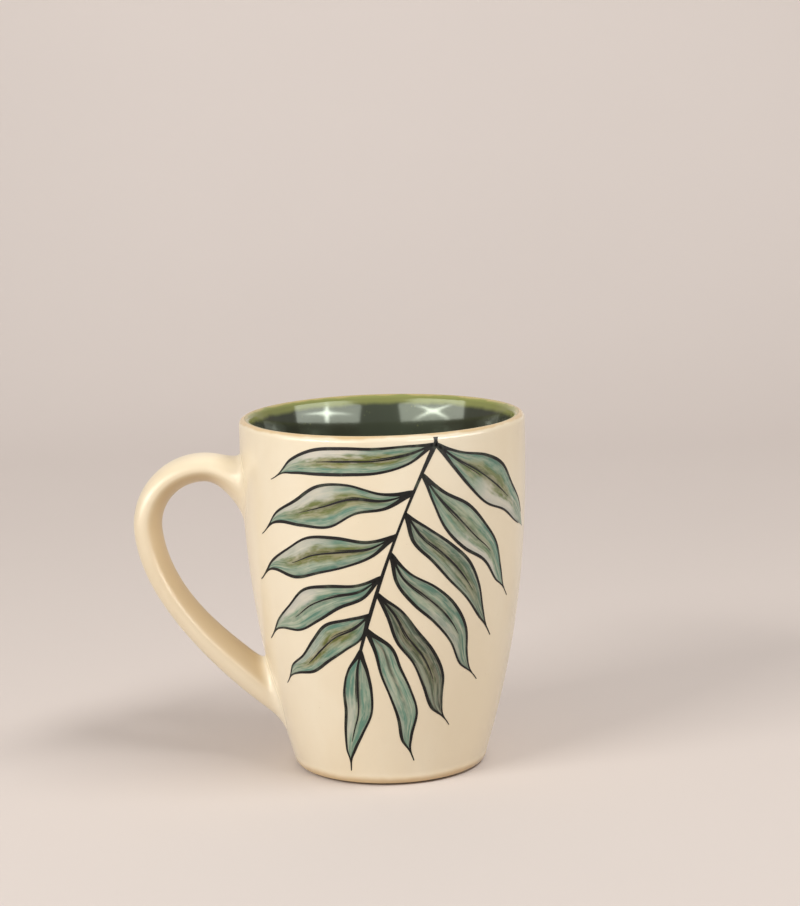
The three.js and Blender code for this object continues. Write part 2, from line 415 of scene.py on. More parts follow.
@dataclass(frozen=True)
class CupForm:
    """The section of the thrown cup, as bare clay round an upright axis."""

    axis_x: float
    lip_height: float
    rim_radius: float
    fullest_below_lip: float = 7 * MM
    heel_radius: float = 28.6 * MM
    heel_height: float = 3 * MM
    taper_power: float = 2.25
    lip_thickness: float = 2.6 * MM
    wall_thickness: float = 5 * MM
    lip_taper: float = 7.5 * MM
    lip_turn: float = 0.31
    floor_thickness: float = 4.6 * MM
    floor_fillet: float = 9 * MM
    foot_ring_width: float = 3.6 * MM
    recess_depth: float = 1.6 * MM
    recess_fillet: float = 1 * MM
    dry_foot_height: float = 1 * MM
    glaze: float = 0.4 * MM
    wall_steps: int = 72
    corner_steps: int = 10

    @classmethod
    def from_frame(cls) -> CupForm:
        """Returns the form that fits the CAD cup's own box."""
        low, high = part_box("cup_body")
        return cls((low[0] + high[0]) / 2, high[2], (high[0] - low[0]) / 2)

    def clay_radius(self, height: float) -> float:
        """Works out the bare clay's outside radius.

        Args:
            height: A height above the heel.

        Returns:
            The radius there.
        """
        fullest = self.lip_height - self.fullest_below_lip
        below = max(0.0, fullest - height) / (fullest - self.heel_height)
        return self.rim_radius - (self.rim_radius - self.heel_radius) * below**self.taper_power

    def glazed_radius(self, height: float) -> float:
        """Returns the glazed outside radius at a height above the heel."""
        return self.clay_radius(height) + self.glaze

    @property
    def shoulder(self) -> float:
        """The height where the half-round lip starts."""
        return self.lip_height - self.lip_thickness / 2

    @property
    def ring_inside(self) -> float:
        """The foot ring's inner radius."""
        return self.heel_radius - self.heel_height - self.foot_ring_width

    @property
    def heel_centre(self) -> Point:
        """The centre of the heel's round edge."""
        return self.heel_radius - self.heel_height, self.heel_height

    @property
    def dry_turn(self) -> float:
        """How far round the heel's edge, below level, the glaze starts, in radians."""
        return math.asin((self.heel_height - self.dry_foot_height) / self.heel_height)

    def outer_line(self) -> list[Point]:
        """Draws the outside.

        Returns:
            The line from the dry foot's edge up to the crest of the lip.
        """
        heel = arc(self.heel_centre, self.heel_height, -self.dry_turn, 0, self.corner_steps)[:-1]
        shares = [i / self.wall_steps for i in range(self.wall_steps + 1)]
        heights = [mix(self.heel_height, self.shoulder, share) for share in shares]
        wall = [(self.clay_radius(height), height) for height in heights]
        return [*heel, *wall, *self._lip(0, math.pi / 2)[1:]]

    def inner_line(self) -> list[Point]:
        """Draws the inside.

        Returns:
            The line from the crest of the lip down to the middle of the floor.
        """
        floor = self.recess_depth + self.floor_thickness
        foot_of_wall = floor + self.floor_fillet
        start = self.shoulder - self.lip_turn * self.lip_thickness / 2
        heights = [mix(start, foot_of_wall, (i / self.wall_steps) ** 1.8) for i in range(self.wall_steps + 1)]
        wall = [(self._inside_radius(height), height) for height in heights]
        corner, bend = wall[-1], (self._inside_radius(floor), floor)
        end = (corner[0] - self.floor_fillet, floor)
        turns = [i / self.corner_steps for i in range(1, self.corner_steps + 1)]
        fillet = [quadratic(corner, bend, end, turn) for turn in turns]
        rings = [(mix(end[0], 0.0, i / 4), floor) for i in range(1, 5)]
        return [*self._lip(math.pi / 2, math.pi - self.lip_turn), *wall, *fillet, *rings]

    def recess_line(self) -> list[Point]:
        """Draws the underside's recess.

        Returns:
            The line from its middle out to the foot ring's inner edge.
        """
        centre = (self.ring_inside - self.recess_fillet, self.recess_depth - self.recess_fillet)
        rings = [(centre[0] * i / 4, self.recess_depth) for i in range(4)]
        return [*rings, *arc(centre, self.recess_fillet, math.pi / 2, 0, self.corner_steps)]

    def clay_section(self) -> list[Point]:
        """Draws the whole bare section.

        Returns:
            The line from the middle of the recess, round the wall, to the middle of the floor.
        """
        dry = arc(self.heel_centre, self.heel_height, -math.pi / 2, -self.dry_turn, self.corner_steps)[:-1]
        base = [*self.recess_line(), (self.ring_inside, 0.0), *dry]
        return [*base, *self.outer_line(), *self.inner_line()[1:]]

    def place(self, angle: float, height: float, lift: float = 0.0) -> Vector:
        """Returns a point on the glazed outside.

        Args:
            angle: Radians round the axis, from +X towards +Y.
            height: Height above the resting plane.
            lift: How far it stands off the glaze.

        Returns:
            The point.
        """
        radius = self.glazed_radius(height) + lift
        return Vector((self.axis_x + radius * math.cos(angle), radius * math.sin(angle), height))

    def outside_by(self, point: Vector) -> float:
        """Returns how far a point is outside the glazed wall, less than 0 inside it."""
        return math.hypot(point.x - self.axis_x, point.y) - self.glazed_radius(point.z)

    def _lip(self, start: float, end: float) -> list[Point]:
        """Returns part of the half-round lip."""
        radius = self.lip_thickness / 2
        return arc((self.rim_radius - radius, self.shoulder), radius, start, end, self.corner_steps)

    def _inside_radius(self, height: float) -> float:
        """Works out the bare inside radius, where the wall thins towards the lip.

        Args:
            height: A height on the wall.

        Returns:
            The radius there.
        """
        lost = self.wall_thickness - self.lip_thickness
        thinning = lost * math.exp((height - self.shoulder) / self.lip_taper)
        return self.clay_radius(height) - self.wall_thickness + thinning


def quadratic(start: Sequence[float], bend: Sequence[float], end: Sequence[float], share: float) -> Any:
    """Returns the point at a share of a curve of one bend, as a tuple."""
    weights = ((1 - share) ** 2, 2 * share * (1 - share), share**2)
    return tuple(weights[0] * a + weights[1] * b + weights[2] * c for a, b, c in zip(start, bend, end))


# ---- Effects that several finishes share ----


def pooled_glaze_group() -> NodeTree:
    """Builds the effect of a glaze that ran a little while it was molten.

    Returns:
        A group that gives a tint for slow drifts in the glaze, a mask of fine specks, a roughness and a
        height.
    """
    takes = {"Vector": SocketKind.VECTOR, "Speck Size": SocketKind.FLOAT, "Gloss": SocketKind.FLOAT}
    gives = {
        "Drift": SocketKind.FLOAT,
        "Specks": SocketKind.FLOAT,
        "Roughness": SocketKind.FLOAT,
        "Height": SocketKind.FLOAT,
    }
    tree = new_tree("pooled_glaze", "ShaderNodeTree", takes, gives)
    net = Net(tree)
    given = net.node("NodeGroupInput").outputs
    runs = net.noise(net.scaled(given["Vector"], (1, 1, 0.45)), 34, 4, 0.55)
    drift = net.fade(runs, 0.3, 0.7)
    cells = net.node("ShaderNodeTexVoronoi", {"feature": "F1"}, Vector=given["Vector"], Scale=620)
    patches = net.fade(net.noise(given["Vector"], 150, 2), 0.5, 0.75)
    dots = net.fade(cells.outputs["Distance"], given["Speck Size"], 0.0)
    specks = net.calc("MULTIPLY", dots, patches)
    orange_peel = net.noise(given["Vector"], 210, 2, 0.4)
    rings = net.noise(net.scaled(given["Vector"], (6, 6, 260)), 1, 1)
    height = net.calc("ADD", net.calc("MULTIPLY", orange_peel, 0.6), net.calc("MULTIPLY", rings, 0.4))
    rough = net.calc("MULTIPLY_ADD", net.noise(given["Vector"], 90, 3), 0.1, given["Gloss"])
    outputs = {"Drift": drift, "Specks": specks, "Roughness": rough, "Height": height}
    net.node("NodeGroupOutput", None, **outputs)
    return tree


def clay_grog_group() -> NodeTree:
    """Builds the effect of fired clay with fine grog in it.

    Returns:
        A group that gives a mask of iron specks, a warm and cool drift, and a height.
    """
    gives = {"Iron": SocketKind.FLOAT, "Drift": SocketKind.FLOAT, "Height": SocketKind.FLOAT}
    tree = new_tree("clay_grog", "ShaderNodeTree", {"Vector": SocketKind.VECTOR}, gives)
    net = Net(tree)
    given = net.node("NodeGroupInput").outputs["Vector"]
    cells = net.node("ShaderNodeTexVoronoi", {"feature": "F1"}, Vector=given, Scale=900)
    iron = net.fade(cells.outputs["Distance"], 0.22, 0.08)
    drift = net.fade(net.noise(given, 60, 4), 0.3, 0.7)
    height = net.noise(given, 1400, 3, 0.6)
    net.node("NodeGroupOutput", None, Iron=iron, Drift=drift, Height=height)
    return tree


@dataclass
class Effects:
    """The shader effects that more than one finish uses, each built once."""

    pooled_glaze: NodeTree = field(default_factory=pooled_glaze_group)
    clay_grog: NodeTree = field(default_factory=clay_grog_group)


# ---- Finishes ----


def new_material(name: str) -> tuple[Material, Net, Node]:
    """Starts a material.

    Args:
        name: The material's name.

    Returns:
        The material, its net, and its Principled shader, which is wired to the output.
    """
    material = bpy.data.materials.new(name)
    material.use_nodes = True
    material.node_tree.nodes.clear()
    net = Net(material.node_tree)
    shader = net.node("ShaderNodeBsdfPrincipled")
    net.node("ShaderNodeOutputMaterial", None, Surface=shader.outputs[0])
    return material, net, shader


def relief(net: Net, shader: Node, height: Socket, depth: float) -> None:
    """Wires a height into a shader's normal.

    Args:
        net: The material's net.
        shader: The shader.
        height: The height, 0 to 1.
        depth: How deep 1 is, in metres.
    """
    bump = net.node("ShaderNodeBump", None, Strength=1.0, Distance=depth, Height=height)
    net.tree.links.new(bump.outputs[0], shader.inputs["Normal"])


@dataclass(frozen=True)
class Ware:
    """What every glazed finish needs to know about the cup it is on."""

    effects: Effects
    form: CupForm


@dataclass(frozen=True)
class CreamGlaze:
    """The warm white glaze of the outside, which thins to tan on the lip and the foot, with painted shade on
    the handle.
    """

    name: str = "cream_glaze"
    body: Colour = srgb(240, 229, 205)
    deep: Colour = srgb(235, 221, 193)
    thin: Colour = srgb(206, 176, 128)
    speck: Colour = srgb(176, 146, 102)
    # Painted shade: the tan laid on the handle, darkest on the loop's inner side where the cup shades it.
    painted_shade_tan: Colour = srgb(190, 158, 106)
    gloss: float = 0.18
    coat: float = 0.18
    coat_roughness: float = 0.13

    def colour(self, net: Net, ware: Ware, coords: Socket) -> tuple[Socket, Node]:
        """Wires the glaze's colour, which the washes over it share.

        Args:
            net: The material's net.
            ware: The cup and its shared effects.
            coords: Object coordinates.

        Returns:
            The colour, and the pooled glaze effect it comes from.
        """
        pooled = net.node("ShaderNodeGroup", {"node_tree": ware.effects.pooled_glaze}, Vector=coords)
        pooled.inputs["Speck Size"].default_value = 0.16
        pooled.inputs["Gloss"].default_value = self.gloss
        drifted = net.blend(pooled.outputs["Drift"], self.body, self.deep)
        specked = net.blend(net.calc("MULTIPLY", pooled.outputs["Specks"], 0.35), drifted, self.speck)
        height = net.split(coords)[2]
        waver = net.calc("MULTIPLY_ADD", net.noise(coords, 120, 2), 1.6 * MM, height)
        lip = net.fade(waver, ware.form.lip_height + 0.35 * MM, ware.form.lip_height + 1.1 * MM, 0, 0.85)
        foot = net.fade(waver, 4.2 * MM, 1.9 * MM, 0, 0.8)
        return net.blend(net.calc("MAXIMUM", lip, foot), specked, self.thin), pooled

    def build(self, ware: Ware) -> Material:
        """Builds the finish.

        Args:
            ware: The cup and its shared effects.

        Returns:
            The material.
        """
        material, net, shader = new_material(self.name)
        coords = net.node("ShaderNodeTexCoord").outputs["Object"]
        colour, pooled = self.colour(net, ware, coords)
        # Painted shade: the handle's point attribute mixes the shade tan into the glaze, strongest on the
        # loop's inner side. Pieces without the attribute get none.
        painted_shade = net.node("ShaderNodeAttribute", {"attribute_name": "painted_shade"}).outputs["Fac"]
        colour = net.blend(net.calc("MULTIPLY", painted_shade, 0.56), colour, self.painted_shade_tan)
        net.tree.links.new(colour, shader.inputs["Base Color"])
        net.tree.links.new(pooled.outputs["Roughness"], shader.inputs["Roughness"])
        shader.inputs["IOR"].default_value = 1.5
        shader.inputs["Coat Weight"].default_value = self.coat
        shader.inputs["Coat Roughness"].default_value = self.coat_roughness
        relief(net, shader, pooled.outputs["Height"], 0.03 * MM)
        return material


@dataclass(frozen=True)
class GreenLiner:
    """The near-black green glaze of the inside, which breaks to olive where it thins on the lip."""

    name: str = "green_liner_glaze"
    deep: Colour = srgb(58, 58, 46)
    pool: Colour = srgb(70, 76, 62)
    olive: Colour = srgb(142, 146, 84)
    lip: Colour = srgb(186, 168, 112)
    gloss: float = 0.1

    def build(self, ware: Ware) -> Material:
        """Builds the finish.

        Args:
            ware: The cup and its shared effects.

        Returns:
            The material.
        """
        material, net, shader = new_material(self.name)
        coords = net.node("ShaderNodeTexCoord").outputs["Object"]
        pooled = net.node("ShaderNodeGroup", {"node_tree": ware.effects.pooled_glaze}, Vector=coords)
        pooled.inputs["Speck Size"].default_value = 0.32
        drifted = net.blend(pooled.outputs["Drift"], self.deep, self.pool)
        specked = net.blend(net.calc("MULTIPLY", pooled.outputs["Specks"], 0.3), drifted, self.olive)
        runs = net.noise(net.scaled(coords, (1, 1, 0.12)), 190, 3)
        depth = net.calc("SUBTRACT", ware.form.lip_height + ware.form.glaze, net.split(coords)[2])
        uneven = net.calc("MULTIPLY_ADD", net.calc("SUBTRACT", runs, 0.5), 1.4 * MM, depth)
        broken = net.blend(net.fade(uneven, 3.4 * MM, 1.7 * MM), specked, self.olive)
        edge = net.blend(net.fade(uneven, 0.45 * MM, 0.05 * MM, 0, 0.8), broken, self.lip)
        net.tree.links.new(edge, shader.inputs["Base Color"])
        shader.inputs["Roughness"].default_value = self.gloss
        shader.inputs["IOR"].default_value = 1.56
        shader.inputs["Specular Tint"].default_value = (0.9, 1.0, 0.86, 1.0)
        relief(net, shader, pooled.outputs["Height"], 0.012 * MM)
        return material


@dataclass(frozen=True)
class FiredClay:
    """Bare fired stoneware."""

    name: str
    body: Colour
    warm: Colour
    iron: Colour = srgb(120, 86, 54)
    dryness: float = 0.82

    def build(self, ware: Ware) -> Material:
        """Builds the finish.

        Args:
            ware: The cup and its shared effects.

        Returns:
            The material.
        """
        material, net, shader = new_material(self.name)
        coords = net.node("ShaderNodeTexCoord").outputs["Object"]
        grog = net.node("ShaderNodeGroup", {"node_tree": ware.effects.clay_grog}, Vector=coords)
        drifted = net.blend(grog.outputs["Drift"], self.body, self.warm)
        colour = net.blend(net.calc("MULTIPLY", grog.outputs["Iron"], 0.5), drifted, self.iron)
        net.tree.links.new(colour, shader.inputs["Base Color"])
        shader.inputs["Roughness"].default_value = self.dryness
        relief(net, shader, grog.outputs["Height"], 0.06 * MM)
        return material


@dataclass(frozen=True)
class LeafWash:
    """Thin green stain brushed along a leaf: teal at the edges, olive by the rib, and watery in places."""

    cream: CreamGlaze
    name: str = "leaf_wash"
    teal: Colour = srgb(90, 133, 115)
    sage: Colour = srgb(150, 169, 147)
    deep: Colour = srgb(56, 92, 80)
    olive: Colour = srgb(104, 110, 42)
    dark: Colour = srgb(56, 58, 40)
    black: Colour = srgb(34, 34, 26)
    watery: Colour = srgb(214, 207, 196)

    def build(self, ware: Ware) -> Material:
        """Builds the finish, which reads the leaf's own UV map and its leaf_ attributes.

        Args:
            ware: The cup and its shared effects.

        Returns:
            The material.
        """
        material, net, shader = new_material(self.name)
        coords = net.node("ShaderNodeTexCoord").outputs["Object"]
        cream, pooled = self.cream.colour(net, ware, coords)
        stain, strength = self._stain(net)
        net.tree.links.new(net.blend(strength, cream, stain), shader.inputs["Base Color"])
        net.tree.links.new(pooled.outputs["Roughness"], shader.inputs["Roughness"])
        shader.inputs["IOR"].default_value = 1.5
        shader.inputs["Coat Weight"].default_value = self.cream.coat
        shader.inputs["Coat Roughness"].default_value = self.cream.coat_roughness
        relief(net, shader, pooled.outputs["Height"], 0.03 * MM)
        return material

    def _stain(self, net: Net) -> tuple[Socket, Socket]:
        """Wires the stain from the brush's run along the leaf.

        Args:
            net: The material's net.

        Returns:
            The stain's colour, and how much of the glaze it covers.
        """
        along, across, _ = net.split(net.node("ShaderNodeUVMap", {"uv_map": "UVMap"}).outputs[0])
        names = ("seed", "olive", "dark", "watery")
        seed, olive, dark, watery = (self._trait(net, f"leaf_{name}") for name in names)
        streaks = self._brushed(net, along, across, seed, (1.7, 8.0), 4)
        fine = self._brushed(net, along, across, seed, (3.0, 26.0), 3)
        blotches = self._brushed(net, along, across, seed, (5.0, 2.6), 3)
        from_rib = net.calc("ABSOLUTE", net.calc("SUBTRACT", across, 0.5))
        green = net.blend(net.fade(streaks, 0.4, 0.62), self.teal, self.sage)
        green = net.blend(net.fade(fine, 0.5, 0.8, 0, 0.5), green, self.deep)
        rim = net.calc("MULTIPLY", net.fade(from_rib, 0.3, 0.47), net.fade(blotches, 0.36, 0.6))
        green = net.blend(net.calc("MULTIPLY", rim, 0.55), green, self.deep)
        rooted = self._all(net, net.fade(along, 0.42, 0.08), net.fade(streaks, 0.35, 0.6), 0.6)
        green = net.blend(rooted, green, self.deep)
        window = net.calc("MULTIPLY", net.fade(along, 0.06, 0.3), net.fade(along, 0.86, 0.6))
        near_rib = net.fade(net.calc("MULTIPLY_ADD", blotches, 0.55, from_rib), 0.62, 0.36)
        warmed = net.blend(self._all(net, near_rib, window, olive), green, self.olive)
        top_side = net.calc("SUBTRACT", net.calc("MULTIPLY", blotches, 1.1), across)
        outer = net.calc("MULTIPLY", net.fade(along, 0.3, 0.5), net.fade(along, 0.92, 0.7))
        bare = net.calc("MULTIPLY", net.fade(top_side, 0.12, 0.38), outer)
        washed = net.blend(self._all(net, bare, watery), warmed, self.watery)
        missed = net.fade(self._brushed(net, along, across, seed, (8.0, 4.0), 2), 0.54, 0.66, 0, 0.25)
        washed = net.blend(self._all(net, missed, net.fade(along, 0.3, 0.6), watery), washed, self.watery)
        dragged = net.calc("MULTIPLY", net.fade(from_rib, 0.15, 0.02), net.fade(along, 0.85, 0.2))
        shaded = net.blend(self._all(net, dragged, net.fade(streaks, 0.28, 0.56), 0.85), washed, self.dark)
        smoky = net.blend(self._all(net, dark, net.fade(streaks, 0.68, 0.42, 0.42, 0.95)), shaded, self.dark)
        tip = net.calc("MULTIPLY", net.fade(along, 0.72, 0.95), net.fade(blotches, 0.42, 0.56))
        loaded = net.calc("MULTIPLY", tip, net.calc("MULTIPLY_ADD", dark, 0.7, 0.3))
        tipped = net.blend(loaded, smoky, self.black)
        sheer = net.fade(self._brushed(net, along, across, seed, (9.0, 7.0), 3), 0.36, 0.6, 0.79, 1.0)
        return tipped, net.calc("MAXIMUM", sheer, net.calc("MULTIPLY", dark, 0.98))

    @staticmethod
    def _brushed(net: Net, along: Any, across: Any, seed: Any, fineness: Point, detail: int) -> Socket:
        """Adds a noise drawn out along the leaf.

        Args:
            net: The material's net.
            along: Place along the leaf, 0 to 1.
            across: Place across it, 0 to 1.
            seed: The leaf's own number.
            fineness: How fine it is along and across.
            detail: Number of finer layers.

        Returns:
            The noise value.
        """
        run, width = net.calc("MULTIPLY", along, fineness[0]), net.calc("MULTIPLY", across, fineness[1])
        return net.noise(net.xyz(run, width, seed), 1.0, detail, 0.58)

    @staticmethod
    def _all(net: Net, *masks: Any) -> Socket:
        """Multiplies several masks together.

        Args:
            net: The material's net.
            *masks: Sockets or numbers.

        Returns:
            The product.
        """
        product = masks[0]
        for mask in masks[1:]:
            product = net.calc("MULTIPLY", product, mask)
        return product

    @staticmethod
    def _trait(net: Net, name: str) -> Socket:
        """Reads one number that a leaf carries on its mesh."""
        return net.node("ShaderNodeAttribute", {"attribute_name": name}).outputs["Fac"]


@dataclass(frozen=True)
class BrushInk:
    """The brown-black line, which thins to grey-brown where the brush ran dry."""

    name: str = "brush_ink"
    full: Colour = srgb(13, 11, 9)
    dry: Colour = srgb(72, 80, 64)

    def build(self, ware: Ware) -> Material:
        """Builds the finish.

        Args:
            ware: The cup and its shared effects.

        Returns:
            The material.
        """
        material, net, shader = new_material(self.name)
        coords = net.node("ShaderNodeTexCoord").outputs["Object"]
        dryness = net.fade(net.noise(coords, 150, 4, 0.6), 0.52, 0.7, 0, 0.7)
        net.tree.links.new(net.blend(dryness, self.full, self.dry), shader.inputs["Base Color"])
        pooled = net.node("ShaderNodeGroup", {"node_tree": ware.effects.pooled_glaze}, Vector=coords)
        pooled.inputs["Gloss"].default_value = 0.3
        net.tree.links.new(pooled.outputs["Roughness"], shader.inputs["Roughness"])
        shader.inputs["Specular IOR Level"].default_value = 0.3
        relief(net, shader, pooled.outputs["Height"], 0.03 * MM)
        return material


# ---- Turned pieces ----


def wheel_tree() -> NodeTree:
    """Builds the tree that turns a section into a closed round body, with the slight sway of a thrown pot.

    Returns:
        The geometry tree. It is given a line of points whose x is a radius and whose z is a height.
    """
    takes = {
        "Section": SocketKind.GEOMETRY,
        "Rows": SocketKind.INT,
        "Segments": SocketKind.INT,
        "Axis X": SocketKind.FLOAT,
        "Sway": SocketKind.FLOAT,
        "Sway Seed": SocketKind.FLOAT,
        "Finish": SocketKind.MATERIAL,
    }
    tree = new_tree("turned_on_the_wheel", "GeometryNodeTree", takes, {"Body": SocketKind.GEOMETRY})
    net = Net(tree)
    given = net.node("NodeGroupInput").outputs
    columns = net.calc("ADD", given["Segments"], 1)
    grid = net.node("GeometryNodeMeshGrid", None, Vertices_X=columns, Vertices_Y=given["Rows"])
    index = net.node("GeometryNodeInputIndex").outputs[0]
    column = net.calc("FLOOR", net.calc("DIVIDE", index, given["Rows"]))
    row = net.calc("MODULO", index, given["Rows"])
    position = net.node("GeometryNodeInputPosition").outputs[0]
    sampler = {"data_type": "FLOAT_VECTOR", "domain": "POINT"}
    source = {"Geometry": given["Section"], "Value": position, "Index": row}
    sample = net.node("GeometryNodeSampleIndex", sampler, **source)
    radius, _, height = net.split(net.out(sample))
    turn = net.calc("MULTIPLY", net.calc("DIVIDE", column, given["Segments"]), 2 * math.pi)
    side, front = net.calc("COSINE", turn), net.calc("SINE", turn)
    drawn = net.xyz(side, front, net.calc("MULTIPLY_ADD", height, 30, given["Sway Seed"]))
    sway = net.calc("MULTIPLY", net.calc("SUBTRACT", net.noise(drawn, 1.0, 1), 0.5), given["Sway"])
    swayed = net.calc("MULTIPLY", radius, net.calc("ADD", sway, 1.0))
    across = net.calc("MULTIPLY_ADD", side, swayed, given["Axis X"])
    place = net.xyz(across, net.calc("MULTIPLY", front, swayed), height)
    moved = net.node("GeometryNodeSetPosition", None, Geometry=grid.outputs["Mesh"], Position=place)
    merged = net.node("GeometryNodeMergeByDistance", None, Geometry=moved.outputs[0], Distance=0.002 * MM)
    realized = net.node("GeometryNodeRealizeInstances", None, Geometry=merged.outputs[0])
    dressed = {"Geometry": realized.outputs[0], "Material": given["Finish"]}
    finished = net.node("GeometryNodeSetMaterial", None, **dressed)
    net.node("NodeGroupOutput", None, Body=finished.outputs[0])
    return tree


@dataclass
class Wheel:
    """Turns sections into pieces, all with one sway, so that coats stay on the clay."""

    form: CupForm
    segments: int = 200
    sway: float = 0.006
    sway_seed: float = 4.0
    tree: NodeTree = field(default_factory=wheel_tree)

    def turn(self, name: str, section: Sequence[Point], finish: Material) -> Piece:
        """Turns a section.

        Args:
            name: The piece's name.
            section: Points of (radius, height), with the solid on the left of their direction of travel.
            finish: Its material.

        Returns:
            The piece.
        """
        line = bpy.data.meshes.new(name)
        line.from_pydata([(radius, 0.0, height) for radius, height in section], [], [])
        values = {
            "Rows": len(section),
            "Segments": self.segments,
            "Axis X": self.form.axis_x,
            "Sway": self.sway,
            "Sway Seed": self.sway_seed,
            "Finish": finish,
        }
        return grown(new_piece(name, line), self.tree, values)

    def coat(self, name: str, line: Sequence[Point], finish: Material) -> Piece:
        """Turns a coat of glaze that lies on a line of the clay's section."""
        surface = offset_line(line, self.form.glaze)
        return self.turn(name, [*surface, *reversed(line), surface[0]], finish)


# ---- The handle ----


@dataclass(frozen=True)
class Flare:
    """How a strap's section grows towards one root."""

    thickness: float
    width: float
    length: float

    def left(self, distance: float) -> float:
        """Returns how much of the flare is left at a distance along the strap from the wall."""
        along = min(max(distance / self.length, 0.0), 1.0)
        return (1 + math.cos(math.pi * along)) / 2


@dataclass
class Handle:
    """The ear-shaped strap, its two slip joints, and the glaze that runs over them onto the wall."""

    form: CupForm
    reach: float = 32.2 * MM
    below_lip: float = 10.4 * MM
    loop_radius: float = 17 * MM
    loop_sweep: float = 1.66
    thickness: float = 7.5 * MM
    width: float = 13 * MM
    outer_squareness: float = 2.6
    inner_squareness: float = 1.6
    upper_root: float = 84.7 * MM
    upper_slope: float = 0.9
    lower_root: float = 21.9 * MM
    lower_slope: float = 0.68
    buried: float = 10 * MM
    upper_flare: Flare = Flare(1.9 * MM, 3 * MM, 12.6 * MM)
    lower_flare: Flare = Flare(2.5 * MM, 2.4 * MM, 45 * MM)
    fillet_on_strap: float = 5.5 * MM
    fillet_on_wall: float = 3.6 * MM
    around: int = 64
    rings: int = 170
    fillet_steps: int = 12

    def __post_init__(self) -> None:
        """Measures the centreline once, so that it can be read by distance."""
        self.line = self._centreline()
        self.distance = [0.0]
        for before, after in zip(self.line, self.line[1:]):
            self.distance.append(self.distance[-1] + math.dist(before, after))
        self.length = self.distance[-1]

    def _centreline(self) -> list[Point]:
        """Draws the strap's centreline in the plane of the loop.

        Returns:
            Points of (x, z) from the cup's axis, from the buried upper end to the buried lower end.
        """
        form = self.form
        centre_x = -(form.rim_radius + self.reach - self.thickness / 2 - self.loop_radius)
        centre_z = form.lip_height - self.below_lip - self.thickness / 2 - self.loop_radius
        upper = Vector((-form.clay_radius(self.upper_root), self.upper_root))
        lower = Vector((-form.clay_radius(self.lower_root), self.lower_root))
        into_upper = Vector((math.cos(self.upper_slope), -math.sin(self.upper_slope)))
        into_lower = Vector((math.cos(self.lower_slope), -math.sin(self.lower_slope)))
        top = Vector((centre_x, centre_z + self.loop_radius))
        turn_end = math.pi / 2 + self.loop_sweep
        leaving = Vector((-math.sin(turn_end), math.cos(turn_end)))
        loop = arc((centre_x, centre_z), self.loop_radius, math.pi / 2, turn_end, 120)
        loop_end = Vector(loop[-1])
        first, last = (upper - top).length / 3, (loop_end - lower).length / 3
        rising = (upper, upper - into_upper * first, top + Vector((first, 0)), top)
        falling = (loop_end, loop_end + leaving * last, lower - into_lower * last, lower)
        ends = [tuple(upper + into_upper * self.buried)], [tuple(lower + into_lower * self.buried)]
        return [*ends[0], *cubic_line(rising, 80), *loop[1:], *cubic_line(falling, 160)[1:], *ends[1]]

    def _at(self, distance: float) -> tuple[Vector, Vector]:
        """Reads the centreline.

        Args:
            distance: A distance along it.

        Returns:
            The point and the direction there.
        """
        distance = min(max(distance, 0.0), self.length)
        step = next(i for i in range(1, len(self.distance)) if self.distance[i] >= distance)
        span = self.distance[step] - self.distance[step - 1]
        share = (distance - self.distance[step - 1]) / span
        point = Vector(self.line[step - 1]).lerp(Vector(self.line[step]), share)
        return point, self._direction(step, share)

    def _direction(self, step: int, share: float) -> Vector:
        """Smooths the centreline's direction.

        Args:
            step: The number of the point after.
            share: The share of the way from the point before.

        Returns:
            The direction.
        """
        last = len(self.line) - 1

        def chord(i: int) -> Vector:
            """Returns the direction through one point of the line."""
            return (Vector(self.line[min(i + 1, last)]) - Vector(self.line[max(i - 1, 0)])).normalized()

        return chord(step - 1).lerp(chord(step), share).normalized()

    def surface(self, k: int, distance: float) -> Vector:
        """Returns a point of the glazed strap.

        Args:
            k: The point's number round the section.
            distance: How far along the strap, from its buried upper end.

        Returns:
            The point, in the frame.
        """
        centre, along = self._at(distance)
        upper = self.upper_flare.left(distance - self.buried)
        lower = self.lower_flare.left(self.length - self.buried - distance)
        thickness = self.thickness + self.upper_flare.thickness * upper + self.lower_flare.thickness * lower
        width = self.width + self.upper_flare.width * upper + self.lower_flare.width * lower
        angle = 2 * math.pi * k / self.around
        squareness = self.outer_squareness if math.cos(angle) > 0 else self.inner_squareness
        out = (thickness / 2 + self.form.glaze) * rounded(math.cos(angle), squareness)
        across = (width / 2 + self.form.glaze) * rounded(math.sin(angle), squareness)
        x, z = centre.x + along.y * out, centre.y - along.x * out
        return Vector((self.form.axis_x + x, across, z))

    def _hit(self, k: int, inside: float, outside: float) -> float:
        """Finds where one line of the strap's surface meets the wall.

        Args:
            k: The line's number round the section.
            inside: A distance along the strap that is inside the wall.
            outside: One that is outside it.

        Returns:
            The distance along the strap.
        """
        for _ in range(40):
            middle = (inside + outside) / 2
            if self.form.outside_by(self.surface(k, middle)) < 0:
                inside = middle
            else:
                outside = middle
        return outside

    def _wall_from(self, hit: Vector, root_height: float, distance: float) -> Vector:
        """Steps along the wall, straight away from a root.

        Args:
            hit: Where the strap meets the wall.
            root_height: The root's height.
            distance: How far to step.

        Returns:
            The point on the glazed wall.
        """
        angle = math.atan2(hit.y, -(hit.x - self.form.axis_x))
        away = Vector((angle * self.form.glazed_radius(hit.z), hit.z - root_height)).normalized()
        height = hit.z + away.y * distance
        turned = angle + away.x * distance / self.form.glazed_radius(hit.z)
        return self.form.place(math.pi - turned, height)

